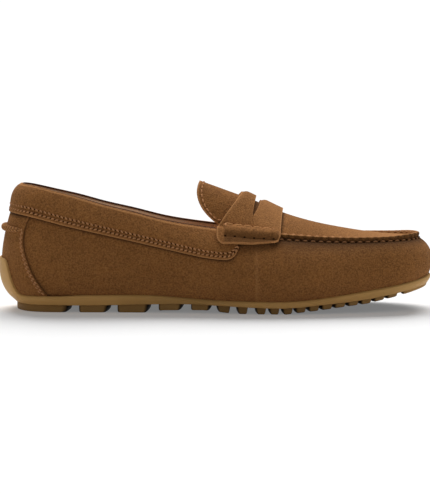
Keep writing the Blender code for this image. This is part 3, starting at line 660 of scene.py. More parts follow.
upper_q = np.sort(np.concatenate((around(70, 140, 80), (THROAT, -THROAT))))
collar_drop = COLLAR_DROP * ramp(np.abs(upper_q), THROAT - 0.01, -0.05)
wall_g = np.linspace(0, 1, 66)[:, None]**1.1 * (1 - collar_drop)
wall_x, _, wall_z = np.moveaxis(skin(upper_q, wall_g), -1, 0)
side_seam = bell(wall_x, SIDE_SEAM_X, SIDE_SEAM_HALF) * ramp(wall_g, 0.85, -0.2)
wall_points = lifted(upper_q, wall_g, pull(upper_q, wall_g) - SIDE_SEAM_DEPTH * side_seam)
# painted shade on the wall below the apron seam, fading over about ten millimetres
under_seam = 0.95 * bell((wall_g - 1) * WALL_GIRTH, 0, SEAM_SHADE_REACH) * ahead_of_throat(upper_q)
wall_shade = np.maximum(contact(upper_q, wall_z), under_seam)

front_q = upper_q[np.abs(upper_q) >= THROAT - 1e-6]
front_q = front_q[np.argsort(front_q % 6)]
apron_g = np.linspace(1, 2, 36)[:, None]
apron_points = lifted(front_q, apron_g, pull(front_q, apron_g) * np.clip(2 - apron_g, 0, 1))
apron_points[-1] = skin(front_q, 2.0)
apron_x, apron_y, _ = np.moveaxis(apron_points, -1, 0)
# painted light: the apron lighter towards the toe
toe_painted_light = 0.45 * ramp(apron_x, 70, 45)
strap_front = STRAP_FRONT_CROWN_X + (STRAP_FRONT_SIDE_X - STRAP_FRONT_CROWN_X) * np.abs(apron_y) / 30.0
strap_shadow = np.where(apron_x < 36, 0.5, 0.75) * ramp(apron_x, strap_front + 2.2, -1.8)
upper = piece("suede_upper", [
    grid(wall_points, wrap=True, edge=0.35 * side_seam, shade=wall_shade),
    grid(apron_points, edge=toe_painted_light, shade=strap_shadow),
], [brushed_suede, lining_leather], "upper", closed=False)
thicken(upper, UPPER_WALL, back=1, rim=1)

# from behind the suede over the inked edge and round the lining's soft fold: out from the rim, up, ink
EDGE_FOLD = np.array((
    (-0.25, -3.0, 1), (-0.30, -0.6, 1), (-0.40, 0.6, 1), (-0.85, 0.95, 1), (-1.25, 0.6, 1), (-1.45, 0.0, 1),
    (-1.55, -0.5, 1), (-1.70, -0.9, 0.6), (-2.00, -1.2, 0), (-2.60, -1.6, 0), (-3.30, -2.2, 0),
    (-3.80, -2.8, 0), (-3.90, -3.6, 0), (-3.50, -4.4, 0), (-2.05, -5.6, 0),
))
rim_q = np.linspace(-THROAT, THROAT, 420)[None, :]
fold_out, fold_up, fold_ink = np.hsplit(EDGE_FOLD, 3)
fold_g = girth_at(rim_q, skin(rim_q, 1.0)[..., 2] + np.minimum(fold_up, 0))
level_out = unit(outward(rim_q, 0.95 + 0 * rim_q) * (1, 1, 0))
outer_stand = 0.65 * ramp(rim_q, 0.5, 0.6)
fold_points = skin(rim_q, fold_g) + level_out * fold_out[..., None]
fold_points[..., 2] += np.where(fold_up > -1, np.maximum(fold_up, 0) * 0.4 + outer_stand, 0)
piece("lining_edge", [grid(fold_points, edge=fold_ink)], [lining_leather], closed=False)

# Heel strip
# Suede panel up the back of the heel, over the joint of the two quarters. Its foot is tucked behind the
# rubber tab, its top goes under the collar band, and two close rows of thread run down each side.
STRIP_FLAT_COLUMNS = 70
STRIP_STITCH = {"pitch": 2.9, "length": 2.1, "thick": 1.2, "lift": 0.25, "lean": 0.35}
# each sewn row: share of the half-width, start in pitches; and from where to where up the strip they run
STRIP_ROWS, STRIP_SEWN = ((0.988, 0.5), (0.966, 1.0)), (0.02, 0.82)
# from under the strip's cut edge to its flat: share of the half-width, rise, light
STRIP_EDGE = np.array(((1, -0.2, 0.1), (1, 0.7, 0.2), (0.994, 1.1, 0.15), (0.98, STRIP_THICK, 0.05)))


def strip_place(share, height):
    """Place and girth on the heel strip: share runs -1 to 1 across it, height 0 to 1 up it."""
    q = share * strip_half(height)
    top = collar_low(rim_x(q)) + STRIP_TUCK
    return q, girth_at(q, STRIP_FOOT_Z + (top - STRIP_FOOT_Z) * height)


edge_share, edge_rise, edge_light = STRIP_EDGE.T
strip_share = np.concatenate((-edge_share, np.linspace(-0.95, 0.95, STRIP_FLAT_COLUMNS), edge_share[::-1]))
strip_rise = np.concatenate((edge_rise, np.full(STRIP_FLAT_COLUMNS, STRIP_THICK), edge_rise[::-1]))
strip_light = np.concatenate((edge_light, np.zeros(STRIP_FLAT_COLUMNS), edge_light[::-1]))
strip_q, strip_g = strip_place(strip_share, np.linspace(0, 1, 60)[:, None])
strip_points = lifted(strip_q, strip_g, strip_rise + GAP * (strip_rise > 0))
piece("heel_strip_suede", [
    grid(strip_points, edge=strip_light, shade=under_collar(strip_q, strip_points[..., 2])),
], [brushed_suede], "heel_strip", closed=False)

# Waxed sewing thread, twisted: golden tan with a slight gloss, its twist a fine rib. Its shade mark darkens
# it:
# painted shade under the apron seam's overhang, a darker thread tone on the other rows.
sewing_thread = new_material("waxed_sewing_thread")
place = node(sewing_thread, "ShaderNodeTexCoord")
ply = node(sewing_thread, "ShaderNodeTexNoise", {
    "Vector": (place, "Object"), "Scale": 1 / 0.0005, "Detail": 2.0})
thread_tone_and_shade = node(sewing_thread, "ShaderNodeAttribute", attribute_name="shade")
twist = node(sewing_thread, "ShaderNodeMix", {
    "Factor_Float": (ply, "Fac"), "A_Color": linear("#a86f44"), "B_Color": linear("#d8a070")},
    data_type="RGBA")
thread_toned_and_shaded = node(sewing_thread, "ShaderNodeMix", {
    "Factor_Float": (thread_tone_and_shade, "Fac"), "A_Color": (twist, "Result_Color"), "B_Color": linear("#5c3818")},
    data_type="RGBA")
rib = node(sewing_thread, "ShaderNodeBump", {"Height": (ply, "Fac"), "Strength": 0.4, "Distance": 0.0002})
shader = node(sewing_thread, "ShaderNodeBsdfPrincipled", {
    "Base Color": (thread_toned_and_shaded, "Result_Color"), "Roughness": 0.75, "Normal": (rib, "Normal"), "IOR": 1.5,
    "Specular IOR Level": 0.12})
node(sewing_thread, "ShaderNodeOutputMaterial", {"Surface": (shader, "BSDF")})


def stitch_row(points, normals, pitch, length, thick, lift, start=0.5, lean=0.0, **marks):
    """Row of stitches along a path, the first after start pitches. Each is a bead whose radius falls to its
    ends as the root of one less the fourth power, arched by lift so that the ends dip into the leather.
    Lean turns it across the path."""
    step = np.linalg.norm(np.diff(points, axis=0), axis=-1)
    arc = np.concatenate(([0], np.cumsum(step)))
    side = unit(np.cross(normals, np.gradient(points, axis=0)))
    a = np.linspace(-1, 1, 7)
    b = np.linspace(0, 2 * np.pi, 6, endpoint=False)
    where = np.arange(start * pitch, arc[-1] - 0.4 * length, pitch)[:, None] + a * length / 2
    p, n, s = (np.stack([np.interp(where, arc, field[:, k]) for k in range(3)], axis=-1)
               for field in (points, normals, side))
    p = p + s * (lean * a)[None, :, None] + n * (lift * (1 - a**2))[None, :, None]
    r = (thick / 2 * (1 - a**4)**0.5)[None, :, None, None]
    ring = np.cos(b)[:, None] * s[:, :, None] + np.sin(b)[:, None] * n[:, :, None]
    return grid(p[:, :, None] + r * ring, wrap=True, **marks)


strip_rows = []
for hand in (1, -1):
    for share, start in STRIP_ROWS:
        line_q, line_g = strip_place(hand * share, np.linspace(*STRIP_SEWN, 120))
        line = lifted(line_q, line_g, STRIP_THICK + GAP), outward(line_q, line_g)
        strip_rows.append(stitch_row(*line, **STRIP_STITCH, start=start, shade=0.18))
piece("heel_strip_thread", strip_rows, [sewing_thread])

# Heel roll
# Short roll of suede, whipped over with its own thread and sewn across the heel strip, fat in the middle and
# flattened towards its ends.
HEEL_ROLL_Z, HEEL_ROLL_SAG, HEEL_ROLL_HALF, HEEL_ROLL_RISE, HEEL_ROLL_REACH = 54.0, 1.5, 2.3, 2.0, 0.62
HEEL_ROLL_SEAT, HEEL_ROLL_TAPER, WHIP_TURNS, WHIP_SLANT, WHIP_DEPTH = 0.3, 0.4, 11, 1.5, 0.2
roll_share = np.linspace(-1, 1, 180)[:, None]
roll_q = HEEL_ROLL_REACH * roll_share
roll_turn = np.linspace(0, 2 * np.pi, 24, endpoint=False)[None, :]
roll_full = (1 - HEEL_ROLL_TAPER * roll_share**2) * np.sqrt(np.clip(1 - roll_share**14, 0, 1))
whip = WHIP_DEPTH * np.cos(2 * np.pi * WHIP_TURNS * roll_share + WHIP_SLANT * roll_turn)
roll_z = HEEL_ROLL_Z - HEEL_ROLL_SAG * np.abs(roll_q) + HEEL_ROLL_HALF * np.sin(roll_turn) * roll_full
roll_out = (STRIP_THICK + 2 * GAP + HEEL_ROLL_SEAT
            + (HEEL_ROLL_RISE + HEEL_ROLL_SEAT) * roll_full * np.cos(roll_turn) * (1 + whip))
whip_share = (whip / WHIP_DEPTH + 1) / 2
# painted light on the whip's ridges and painted shade in its grooves
piece("heel_roll_suede", [
    grid(lifted(roll_q, girth_at(roll_q, roll_z), roll_out), wrap=True, edge=0.6 * whip_share,
         shade=0.6 * (1 - whip_share)),
], [brushed_suede], "heel_roll")

# Collar band
# Wide strip of suede round the opening, laid over the wall and sewn down along its lower edge with two
# staggered rows. Its top is turned over the collar, and its front ends are rounded and go under the strap.
COLLAR_THICK, COLLAR_PAD, COLLAR_PAD_REACH, COLLAR_TUCK, COLLAR_EASE = 1.55, 2.1, 0.8, 0.2, 0.03
COLLAR_FACE_ROWS, COLLAR_NORMAL_TOP, SEWN_MIDDLE, SEWN_STAND, SEWN_SUNK = 40, 0.95, 2.9, 1.6, 0.45
# the turned top: how far below the rim it starts, raised on the outer side; its middle, half-width and round
TOP_DROP, TOP_OUTER_RISE, TOP_MIDDLE, TOP_HALF, TOP_ROUND = 0.75, 0.65, 0.4, 0.85, 0.75
# from under the band's cut lower edge to its face: share of the way up, rise, light; then painted highlight
# up to the top and over the turned top
COLLAR_EDGE = np.array((
    (0, -0.2, 0.5), (0, 0.95, 0.6), (0.006, 1.3, 0.5), (0.02, 1.5, 0.3), (0.04, COLLAR_THICK, 0.1)))
COLLAR_TOP_HIGHLIGHT = (0.15, 0.35, 0.6, 0.8, 0.95)
# each sewn row: height above the lower edge, start in pitches, lean
COLLAR_ROWS = ((1.8, 0.5, 0.5), (4.0, 1.0, -0.5))
COLLAR_STITCH = {"pitch": 2.9, "length": 2.2, "thick": 1.15, "lift": 0.15}
COLLAR_HOLE = {"pitch": 2.9, "length": 0.8, "thick": 0.8, "lift": 0.05}
collar_end = place_at(COLLAR_END_X)
band_half = np.concatenate((
    np.linspace(0, 1, 90, endpoint=False), np.linspace(1, collar_end - COLLAR_EASE, 120, endpoint=False),
    collar_end - COLLAR_EASE * np.linspace(1, 0, 16)**2,
))
# the first and last columns stand twice, once on the face and once tucked in to close the band's ends
band_q = np.concatenate((-band_half[-1:], -band_half[:0:-1], band_half, band_half[-1:]))
on_face = np.ones(len(band_q))
on_face[[0, -1]] = 0
low_g = girth_at(band_q, collar_low(rim_x(band_q)))
top_g = girth_at(band_q, skin(band_q, 1.0)[:, 2] - TOP_DROP + TOP_OUTER_RISE * bell(band_q, 0.8, 0.4))
tall = np.linalg.norm(skin(band_q, top_g) - skin(band_q, low_g), axis=-1)


def collar_swell(q, up, above):
    """How far the band's face stands off its own thickness: padding at the heel, a step over the heel strip,
    a low crown, a trough along the sewn rows and a fall to the turned top."""
    heel_pad = COLLAR_PAD * bell(q, 0, COLLAR_PAD_REACH, 4) * np.sin(np.pi * np.clip(up, 0, 1)**1.1)
    step = 1.3 * ramp(np.abs(q), 0.82, -0.07) * np.clip(1 - up, 0, 1)**2
    crown = 0.25 * np.sin(np.pi * up)**2 - 0.5 * ramp(up, 0.93, 0.07)**2
    return heel_pad + step + crown - 0.28 * bell(above, SEWN_MIDDLE, 1.9)


low_up, low_rise, low_light = np.hsplit(COLLAR_EDGE, 3)
face_up = np.vstack((low_up, np.linspace(0.07, 1, COLLAR_FACE_ROWS)[:, None]))
face_rise = np.vstack((low_rise, np.full((COLLAR_FACE_ROWS, 1), COLLAR_THICK)))
above_low = face_up * tall
face_stand = (face_rise + collar_swell(band_q, face_up, above_low) * (face_rise > 0)) * on_face
tucked = COLLAR_TUCK * (1 - on_face)
collar_face = lifted(band_q, low_g + (top_g - low_g) * face_up, face_stand - tucked, top=COLLAR_NORMAL_TOP)
curl = np.linspace(0, np.pi, 8)[1:, None]
top_stand = (TOP_MIDDLE + TOP_HALF * np.cos(curl)) * on_face
collar_top = lifted(band_q, top_g, top_stand - tucked, top=COLLAR_NORMAL_TOP)
collar_top[..., 2] += TOP_ROUND * np.sin(curl) * on_face
plain_rows = np.zeros(COLLAR_FACE_ROWS - len(COLLAR_TOP_HIGHLIGHT))
collar_light = np.concatenate((low_light[:, 0], plain_rows, COLLAR_TOP_HIGHLIGHT, np.ones(len(curl))))
# darker along the sewn rows: partly the needle-pierced suede, partly painted shade in the trough
needled_shade = 0.12 * bell(above_low, SEWN_MIDDLE, 1.7, 4) * on_face
piece("collar_band_suede", [grid(
    np.concatenate((collar_face, collar_top)), edge=np.maximum(collar_light[:, None], 0.6 * (1 - on_face)),
    shade=np.concatenate((needled_shade, np.zeros(collar_top.shape[:2]))),
)], [brushed_suede], "collar_band", closed=False)

# Stitch hole, leather in deep shade: near black brown, no gloss.
stitch_hole = new_material("stitch_hole_shade")
place = node(stitch_hole, "ShaderNodeTexCoord")
fray = node(stitch_hole, "ShaderNodeTexNoise", {"Vector": (place, "Object"), "Scale": 1 / 0.0008})
dark = node(stitch_hole, "ShaderNodeMix", {
    "Factor_Float": (fray, "Fac"), "A_Color": linear("#1c0f06"), "B_Color": linear("#3a2210")},
    data_type="RGBA")
shader = node(stitch_hole, "ShaderNodeBsdfPrincipled", {
    "Base Color": (dark, "Result_Color"), "Roughness": 1.0, "Specular IOR Level": 0.0})
node(stitch_hole, "ShaderNodeOutputMaterial", {"Surface": (shader, "BSDF")})

collar_rows, needle_rows = [], []
row_q, row_low_g, row_top_g, row_tall = (field[2:-2] for field in (band_q, low_g, top_g, tall))
for above, start, lean in COLLAR_ROWS:
    row_up = np.clip(above / row_tall, 0, 1)
    row_g = row_low_g + (row_top_g - row_low_g) * row_up
    row_stand = SEWN_STAND + collar_swell(row_q, row_up, above) - SEWN_SUNK * ramp(np.abs(row_q), 0.62, -0.12)
    row = lifted(row_q, row_g, row_stand, top=COLLAR_NORMAL_TOP), outward(row_q, row_g)
    collar_rows.append(stitch_row(*row, **COLLAR_STITCH, start=start, lean=lean, shade=0.25))
    needle_rows.append(stitch_row(*row, **COLLAR_HOLE, start=start + 0.5))
piece("collar_thread", collar_rows, [sewing_thread])
piece("collar_holes", needle_rows, [stitch_hole])

# Apron seam
# Raised hand-sewn ridge where the apron is drawn over the edge of the wall: a fold of suede with the thread
# pulled through it, so that it puckers between stitches and overhangs a row of holes. A U round the toe.
SEAM_START_X, SEAM_MIDDLE, SEAM_HOLE_DROP = 17.0, (60.0, 0, 50.0), 3.1
SEAM_HOLE = {"pitch": PUCKER_PITCH, "length": 1.9, "thick": 1.1, "lift": 0.1}
SEAM_STITCH = {"pitch": PUCKER_PITCH, "length": 3.0, "thick": 0.9, "lift": 0.1}
SEAM_TOP_STITCH = {"pitch": PUCKER_PITCH, "length": 2.8, "thick": 0.9, "lift": 0.15}
# step from the apron over the crest and down to the foot on the wall, across (+ to the apron), up
SEAM = np.array((
    (0, 3.6, -1.1), (1, 2.3, 0.45), (2, 1.15, 1.6), (3, 0.1, 2.2), (4, -0.85, 2.0), (5, -1.3, 1.2),
    (6, -1.4, 0.35), (7, -2.2, -0.1), (8, -3.2, -0.5),
))
seam_start = place_at(SEAM_START_X)
seam_q = np.linspace(seam_start, 6 - seam_start, 900)
seam_line, seam_up = skin(seam_q, 1.0), outward(seam_q, 1.0)
seam_in = np.cross(seam_up, unit(np.gradient(seam_line, axis=0)))
seam_in *= np.sign(np.sum(seam_in * (SEAM_MIDDLE - seam_line), axis=-1, keepdims=True))
seam_step = np.linspace(0, 8, 33)
seam_across, seam_rise = spline(SEAM, seam_step).T
seam_beat = np.cos(2 * np.pi * seam_arc(seam_q) / PUCKER_PITCH)[:, None]
seam_full = 1 + 0.025 * seam_beat + 0.5 * bell(seam_q, 3, 0.45, 4)[:, None]
crest = ramp(seam_rise, -0.4, 2.0)
seam_points = (seam_line[:, None]
               + seam_in[:, None] * (seam_across - 0.35 * seam_beat * (seam_across < 0))[..., None]
               + seam_up[:, None] * (seam_rise * (1 + (seam_full - 1) * crest))[..., None])
# painted highlight along the crest; painted shade down the ridge's outer face to the holes
crest_highlight = bell(seam_step, 2.8, 0.5) * (0.8 + 0.15 * seam_beat)
overhang_shade = ramp(seam_step, 3.3, 0.6) * ramp(seam_step, 8.6, -0.8) * (0.55 - 0.08 * seam_beat)
piece("apron_seam_suede", [grid(seam_points, edge=crest_highlight, shade=overhang_shade)], [brushed_suede],
      "apron_seam", closed=False)

hole_g = 1 - SEAM_HOLE_DROP / WALL_GIRTH
hole_up = outward(seam_q, hole_g)
piece("apron_seam_holes", [
    stitch_row(lifted(seam_q, hole_g, 0.12), hole_up, **SEAM_HOLE),
], [stitch_hole])
top_line = seam_line + seam_in * 2.0 + seam_up * (0.85 * seam_full)
piece("apron_seam_thread", [
    stitch_row(lifted(seam_q, hole_g, 0.25), hole_up, **SEAM_STITCH, start=1.0, shade=0.72),
    stitch_row(top_line, seam_up, **SEAM_TOP_STITCH, shade=0.1),
], [sewing_thread])

# Tongue
# Suede flap with a leather back that carries the apron's line up past the strap. Its free end is rounded and
# edged with one row of stitches.
TONGUE_THICK, TONGUE_HALF, TONGUE_EDGE_Z, TONGUE_BEVEL = 1.8, 24.5, 54.5, 0.45
TONGUE_END_X, TONGUE_BOW, TONGUE_CORNER, TONGUE_ROOT_X = -10.4, 12.0, 18.0, 26.0
TONGUE_STITCH = {"pitch": 3.7, "length": 3.0, "thick": 1.05, "lift": 0.2}
# the sewn row: how far out it runs, how far from the free end, and how far down the sides
TONGUE_ROW_V, TONGUE_ROW_DOWN, TONGUE_ROW_END = 0.90, 0.075, 0.62


def tongue_at(v, down):
    """Outer face of the tongue: v runs -1 to 1 across it, down 0 to 1 from its free end to its root. From the
    crown line it falls to its edge as a power of v; the root dips under the apron and the middle sags."""
    end_x = TONGUE_END_X - TONGUE_BOW * v**2 * (1 - v**2) + TONGUE_CORNER * np.abs(v)**5
    x = end_x + (TONGUE_ROOT_X - end_x) * down
    crown = read(CROWN, x)
    z = crown - (crown - TONGUE_EDGE_Z) * np.abs(v)**2.2
    z = z - 1.2 * ramp(x, 18.0, 8.0) - 0.4 * np.sin(np.pi * down) * (1 - v**2)
    return np.stack(np.broadcast_arrays(x, TONGUE_HALF * v, z), axis=-1)


def tongue_up(v, down):
    """Unit normal of the tongue's outer face from small steps across and down it."""
    step = 0.01
    lengthways = tongue_at(v, down + step) - tongue_at(v, down - step)
    crossways = tongue_at(v + step, down) - tongue_at(v - step, down)
    normal = unit(np.cross(lengthways, crossways))
    return normal * np.sign(normal[..., 2:])


tongue_v = np.sin(np.linspace(-1, 1, 81) * np.pi / 2)[None, :]
tongue_down = np.linspace(0, 1, 50)[:, None]**1.2
tongue_light = 0.8 * np.maximum(ramp(np.abs(tongue_v), 0.965, 0.02), ramp(tongue_down, 0.03, -0.02))
tongue = piece("tongue_suede", [grid(tongue_at(tongue_v, tongue_down), edge=tongue_light)],
               [brushed_suede, lining_leather], "tongue", closed=False)
thicken(tongue, TONGUE_THICK, back=1, bevel=TONGUE_BEVEL)

row_side = np.linspace(TONGUE_ROW_END, TONGUE_ROW_DOWN, 40)
row_v = np.concatenate((np.full(40, -TONGUE_ROW_V), np.linspace(-TONGUE_ROW_V, TONGUE_ROW_V, 120),
                        np.full(40, TONGUE_ROW_V)))
row_down = np.concatenate((row_side, np.full(120, TONGUE_ROW_DOWN), row_side[::-1]))
row_down = np.maximum(row_down, TONGUE_ROW_DOWN + 0.06 * np.abs(row_v)**10)
row_line = tongue_at(row_v, row_down)
moved_on = np.concatenate(([True], np.linalg.norm(np.diff(row_line, axis=0), axis=-1) > 0.01))
piece("tongue_thread", [
    stitch_row(row_line[moved_on], tongue_up(row_v, row_down)[moved_on], **TONGUE_STITCH),
], [sewing_thread])

# Penny strap
# Saddle of suede over the instep with a slit across its crown. Each end is folded round the roll of the seam
# and sewn through, with puckers along the top of the roll, painted light as a highlight, and open holes along
# its foot.
STRAP_THICK, STRAP_SHEET, STRAP_BEVEL = 1.7, 1.5, 0.4
STRAP_BACK_CROWN_X, STRAP_BACK_SIDE_X, STRAP_BACK_MIDDLE_X = 16.9, 0.9, 10.0
STRAP_BACK_CORNER, STRAP_FRONT_CORNER, STRAP_LOOSE_BACK, STRAP_LOOSE_FRONT = 4.8, 5.2, 2.1, 0.7
SLOT_X, SLOT_HALF_LENGTH, SLOT_HALF_WIDTH, SLOT_SWEEP, SLOT_PART = 27.8, 23.3, 1.7, 3.4, 0.42
ROLL_MID, ROLL_SPAN, ROLL_SLIM, ROLL_HIGH, ROLL_PITCH = 0.962, 0.098, 0.024, 3.8, 6.3
ROLL_FROM_X, ROLL_TO_X, ROLL_WAVE_X, PLEAT_X = 5.2, 42.3, 5.7, 8.8
STRAP_FOOT_X, STRAP_FOOT_LENGTH, STRAP_ROW_X, STRAP_ROW_LENGTH = 3.0, 38.0, 1.0, 42.0
# the girths between which the rows of the grid run level over the crown
BACK_COLUMNS, FRONT_COLUMNS, LEVEL_FROM, LEVEL_SPAN, LEVEL_TO = 40, 34, 1.2, 1.6, 2.8
FOLD_PUCKER = {"pitch": ROLL_PITCH, "length": 7.0, "thick": 1.8, "lift": 0.25}
FOLD_HOLE = {"pitch": ROLL_PITCH, "length": 1.6, "thick": 1.1, "lift": 0.05}
END_HOLE = {"pitch": 9.0, "length": 1.5, "thick": 1.2, "lift": 0.1}
RUNG_STITCH = {"pitch": 8.0, "length": 3.8, "lift": 0.35}
# x, thickness of the two threads that show across the roll
RUNGS = ((6.6, 1.3), (37.8, 0.8))


def strap_low(part, hand):
    """Girth of the strap's lower edge at a part of the way from its back edge to its front edge."""
    z = STRAP_LOW_BACK_Z + (STRAP_LOW_FRONT_Z - STRAP_LOW_BACK_Z) * part
    return girth_at(hand * place_at(STRAP_FOOT_X + STRAP_FOOT_LENGTH * part), z)


def roll_span(x):
    """Half-width of the roll in girth, slimmer towards the toe."""
    return ROLL_SPAN - ROLL_SLIM * ramp(x, ROLL_FROM_X, ROLL_TO_X - ROLL_FROM_X)


def wave(x, crest_x):
    """Cosine along the roll at the pitch of its stitches, one at the crest."""
    return np.cos(2 * np.pi * (x - crest_x) / ROLL_PITCH)


def strap_height(x, over, part):
    """Height of the strap's outer face above the skin: a half round where it is folded over the roll, pinched
    at the two sewn lines, raised where it crosses the collar band and a little loose over the crown."""
    girth = np.where(over < 2, over, 4 - over)
    u = (girth - ROLL_MID) / roll_span(x)
    on_roll = np.sqrt(ramp(x, ROLL_FROM_X, 1.6) * ramp(x, ROLL_TO_X, -2.6))
    roll = ROLL_HIGH * np.clip(1 - np.abs(u)**2.4, 0, 1)**0.55 * on_roll
    roll = roll * (1 + 0.05 * wave(x, ROLL_WAVE_X))
    pleat = 0.5 * bell(u, 1.0, 0.12) * (1 + 0.5 * wave(x, PLEAT_X)) * on_roll
    pinch = 0.45 * bell(np.abs(u), 1.12, 0.12) * on_roll - pleat
    flap = (0.9 + 0.85 * ramp(x, 24.0, -12.0)) * ramp(girth, 1.03, -0.06)
    loose = STRAP_LOOSE_BACK + (STRAP_LOOSE_FRONT - STRAP_LOOSE_BACK) * part
    crown = loose * bell(over, 2, 0.55, 4)
    return GAP + STRAP_THICK + np.maximum(np.maximum(roll, flap), crown) - pinch


def on_strap(x, share, hand):
    """Points and normals along a line on the strap's outer face, at a share of the roll's half-width."""
    girth = ROLL_MID + share * roll_span(x)
    q = hand * place_at(x)
    stand = strap_height(x, girth, (x - STRAP_ROW_X) / STRAP_ROW_LENGTH)
    return lifted(q, girth, stand), outward(q, girth)


# columns run from the back edge over the slit to the front edge, rows up one side, over and down the other
column = np.concatenate((np.linspace(0, SLOT_PART, BACK_COLUMNS), np.linspace(SLOT_PART, 1, FRONT_COLUMNS)))
in_back = np.arange(column.size) < BACK_COLUMNS
low_o, low_i = strap_low(column, 1), strap_low(column, -1)
over = np.vstack((
    low_o + (LEVEL_FROM - low_o) * np.linspace(0, 1, 70)[:-1, None],
    LEVEL_FROM + LEVEL_SPAN * np.linspace(0, 1, 110)[:-1, None] + 0 * column,
    LEVEL_TO + (LEVEL_FROM - low_i) * np.linspace(0, 1, 70)[:, None],
))
down_side = np.where(over < 2, (2 - over) / (2 - low_o), (over - 2) / (2 - low_i))
low_edge = np.minimum(over - low_o, 4 - low_i - over)
back_corner, front_corner = (
    radius * (1 - np.sqrt(1 - np.clip(1 - low_edge * WALL_GIRTH / radius, 0, 1)**2))
    for radius in (STRAP_BACK_CORNER, STRAP_FRONT_CORNER))
rim_z, crown_z = float(read(RIM, STRAP_BACK_MIDDLE_X)), float(read(CROWN, STRAP_BACK_MIDDLE_X))
sweep = ramp(skin(place_at(STRAP_BACK_MIDDLE_X), over)[..., 2], rim_z, crown_z - rim_z)
back_x = STRAP_BACK_SIDE_X + (STRAP_BACK_CROWN_X - STRAP_BACK_SIDE_X) * sweep + back_corner
front_x = STRAP_FRONT_CROWN_X + (STRAP_FRONT_SIDE_X - STRAP_FRONT_CROWN_X) * down_side - front_corner
along = np.clip(skin(place_at(SLOT_X), over)[..., 1] / SLOT_HALF_LENGTH, -1, 1)
slot_mid = SLOT_X - SLOT_SWEEP * along**2
slot_half = SLOT_HALF_WIDTH * (1 - along**4)
strap_x = np.where(
    in_back, back_x + (slot_mid - slot_half - back_x) * column / SLOT_PART,
    slot_mid + slot_half + (front_x - slot_mid - slot_half) * (column - SLOT_PART) / (1 - SLOT_PART))
to_edge = np.minimum(strap_x - back_x, front_x - strap_x)
to_slot = np.abs(strap_x - slot_mid) - slot_half
bowed = np.where(in_back, 1.7 * bell(strap_x, back_x, 2.0), 1.8 * bell(to_slot, 0, 2.0))
strap_stand = strap_height(strap_x, over, column) - bowed * bell(over, 2, 0.62, 4)
strap_points = lifted(place_at(strap_x), over, strap_stand)

from_mid = np.where(over < 2, over, 4 - over) - ROLL_MID
span = roll_span(strap_x)
on_roll = ramp(strap_x, ROLL_FROM_X, 1.0)
# painted highlight along the top of the roll, beating with its pleats
ridge = bell(from_mid, 0.9 * span, 0.022) * (0.85 + 0.15 * wave(strap_x, PLEAT_X)) * on_roll
# painted light: the front part of the strap lighter
strap_front_painted_light = 0.06 + 0.2 * ramp(column, SLOT_PART, 0.12) * ramp(over, 1.0, 0.1)
# cut edges, slit and foot lighter: partly the raw edge's own paler colour, partly painted highlight
cut_light = 0.95 * np.clip(1.2 - to_edge / 0.9, 0, 1)
slot_light = 0.5 * np.clip(1.1 - to_slot / 0.8, 0, 1) * ramp(np.abs(along), 1, -0.05)
foot_light = 0.55 * np.clip(1.2 - low_edge / 0.014, 0, 1)
strap_light = np.max((ridge, strap_front_painted_light, cut_light, slot_light, foot_light), axis=0)
# painted shade in the groove above the roll and over the roll's lower half, none where painted light lies
groove = bell(from_mid, 1.25 * span, 0.012) * (0.3 - 0.2 * wave(strap_x, PLEAT_X))
belly = 0.6 * ramp(from_mid, -0.2 * span, -0.05)
strap_painted_shade = np.maximum(groove, belly) * on_roll * np.clip(1 - strap_light / 0.3, 0, 1)
penny_strap = piece("penny_strap_suede", [
    grid(strap_points[:, k], edge=strap_light[:, k], shade=strap_painted_shade[:, k])
    for k in (slice(0, BACK_COLUMNS), slice(BACK_COLUMNS, None))
], [brushed_suede], "penny_strap", closed=False)
thicken(penny_strap, STRAP_SHEET, bevel=STRAP_BEVEL)

fold_rows, strap_rows, hole_rows = [], [], []
fold_x = np.linspace(ROLL_FROM_X + 0.6, ROLL_TO_X - 1.6, 160)
end_x = np.linspace(6.0, 8.6, 20)
for hand in (1, -1):
    # the puckers are painted light all over: painted highlight along the top of the roll
    fold_rows.append(stitch_row(*on_strap(fold_x, 0.92, hand), **FOLD_PUCKER, edge=1.0))
    hole_rows.append(stitch_row(*on_strap(fold_x, -1.04, hand), **FOLD_HOLE, start=0.1))
    hole_rows.append(stitch_row(*on_strap(end_x, 1.14, hand), **END_HOLE, start=0.12))
    for x, thick in RUNGS:
        rung = on_strap(np.full(40, x), np.linspace(0.95, 0.1, 40), hand)
        strap_rows.append(stitch_row(*rung, **RUNG_STITCH, thick=thick, start=0.25))
piece("strap_fold_puckers", fold_rows, [brushed_suede])
piece("strap_thread", strap_rows, [sewing_thread])
piece("strap_holes", hole_rows, [stitch_hole])

# Floor, light and camera
# White studio floor in an even white surround. One broad soft light from above and behind is for the shoe, a
# second one for the floor only, lower, so that the shadow falls forward.
FLOOR_HALF = 6.0
# name, tilt, spread and strength of each light
LIGHTS = (("overhead_softbox", -24, 50, 3.7), ("floor_light", -46, 48, 4.4))
ELEVATION, DISTANCE, AIM_X, AIM_Z = np.radians(4.7), 1.3, -0.00033, 0.0404
LENS, SENSOR = 162.9, 36.0

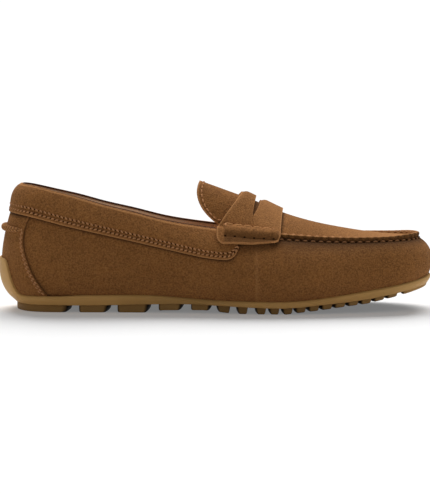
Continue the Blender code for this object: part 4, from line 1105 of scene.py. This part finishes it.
# Studio paper, matt and white: a faint mottle and a little light of its own, as if lit from all round.
paper = new_material("white_studio_paper")
place = node(paper, "ShaderNodeTexCoord")
mottle = node(paper, "ShaderNodeTexNoise", {"Vector": (place, "Object"), "Scale": 1 / 0.004})
white = node(paper, "ShaderNodeMix", {
    "Factor_Float": (mottle, "Fac"), "A_Color": linear("#dedede"), "B_Color": linear("#e2e2e2")},
    data_type="RGBA")
shader = node(paper, "ShaderNodeBsdfPrincipled", {
    "Base Color": (white, "Result_Color"), "Roughness": 0.9, "Specular IOR Level": 0.0,
    "Emission Color": (1, 1, 1, 1), "Emission Strength": 0.18})
node(paper, "ShaderNodeOutputMaterial", {"Surface": (shader, "BSDF")})
floor_mesh = bpy.data.meshes.new("studio_floor")
floor_corners = [(x * FLOOR_HALF, y * FLOOR_HALF, 0) for x, y in ((-1, -1), (1, -1), (1, 1), (-1, 1))]
floor_mesh.from_pydata(floor_corners, [], [(0, 1, 2, 3)])
floor_mesh.materials.append(paper)
floor = bpy.data.objects.new("studio_floor", floor_mesh)
bpy.context.scene.collection.objects.link(floor)

floor_only = bpy.data.collections.new("floor_only")
floor_only.objects.link(floor)
all_but_floor = bpy.data.collections.new("all_but_floor")
all_but_floor.objects.link(floor)
all_but_floor.collection_objects[0].light_linking.link_state = "EXCLUDE"
for (name, tilt, spread, energy), lights in zip(LIGHTS, (all_but_floor, floor_only)):
    sky = bpy.data.lights.new(name, "SUN")
    sky.energy = energy
    sky.angle = np.radians(spread)
    lamp = bpy.data.objects.new(name, sky)
    lamp.rotation_euler = (np.radians(tilt), 0, 0)
    lamp.light_linking.receiver_collection = lights
    bpy.context.scene.collection.objects.link(lamp)

studio = bpy.data.worlds.new("studio_surround")
studio.use_nodes = True
studio.node_tree.nodes.clear()
ray = node(studio, "ShaderNodeLightPath")
seen = node(studio, "ShaderNodeMapRange", {"Value": (ray, "Is Camera Ray"), "To Min": 0.2, "To Max": 1.05})
glow = node(studio, "ShaderNodeBackground", {"Color": (1, 1, 1, 1), "Strength": (seen, "Result")})
node(studio, "ShaderNodeOutputWorld", {"Surface": (glow, "Background")})
bpy.context.scene.world = studio

lens = bpy.data.cameras.new("product_camera")
lens.lens = LENS
lens.sensor_width = SENSOR
lens.sensor_fit = "HORIZONTAL"
camera = bpy.data.objects.new("product_camera", lens)
camera.location = (AIM_X, -DISTANCE * np.cos(ELEVATION), AIM_Z + DISTANCE * np.sin(ELEVATION))
camera.rotation_euler = (np.pi / 2 - ELEVATION, 0, 0)
bpy.context.scene.collection.objects.link(camera)
bpy.context.scene.camera = camera
bpy.context.scene.view_settings.view_transform = "Standard"
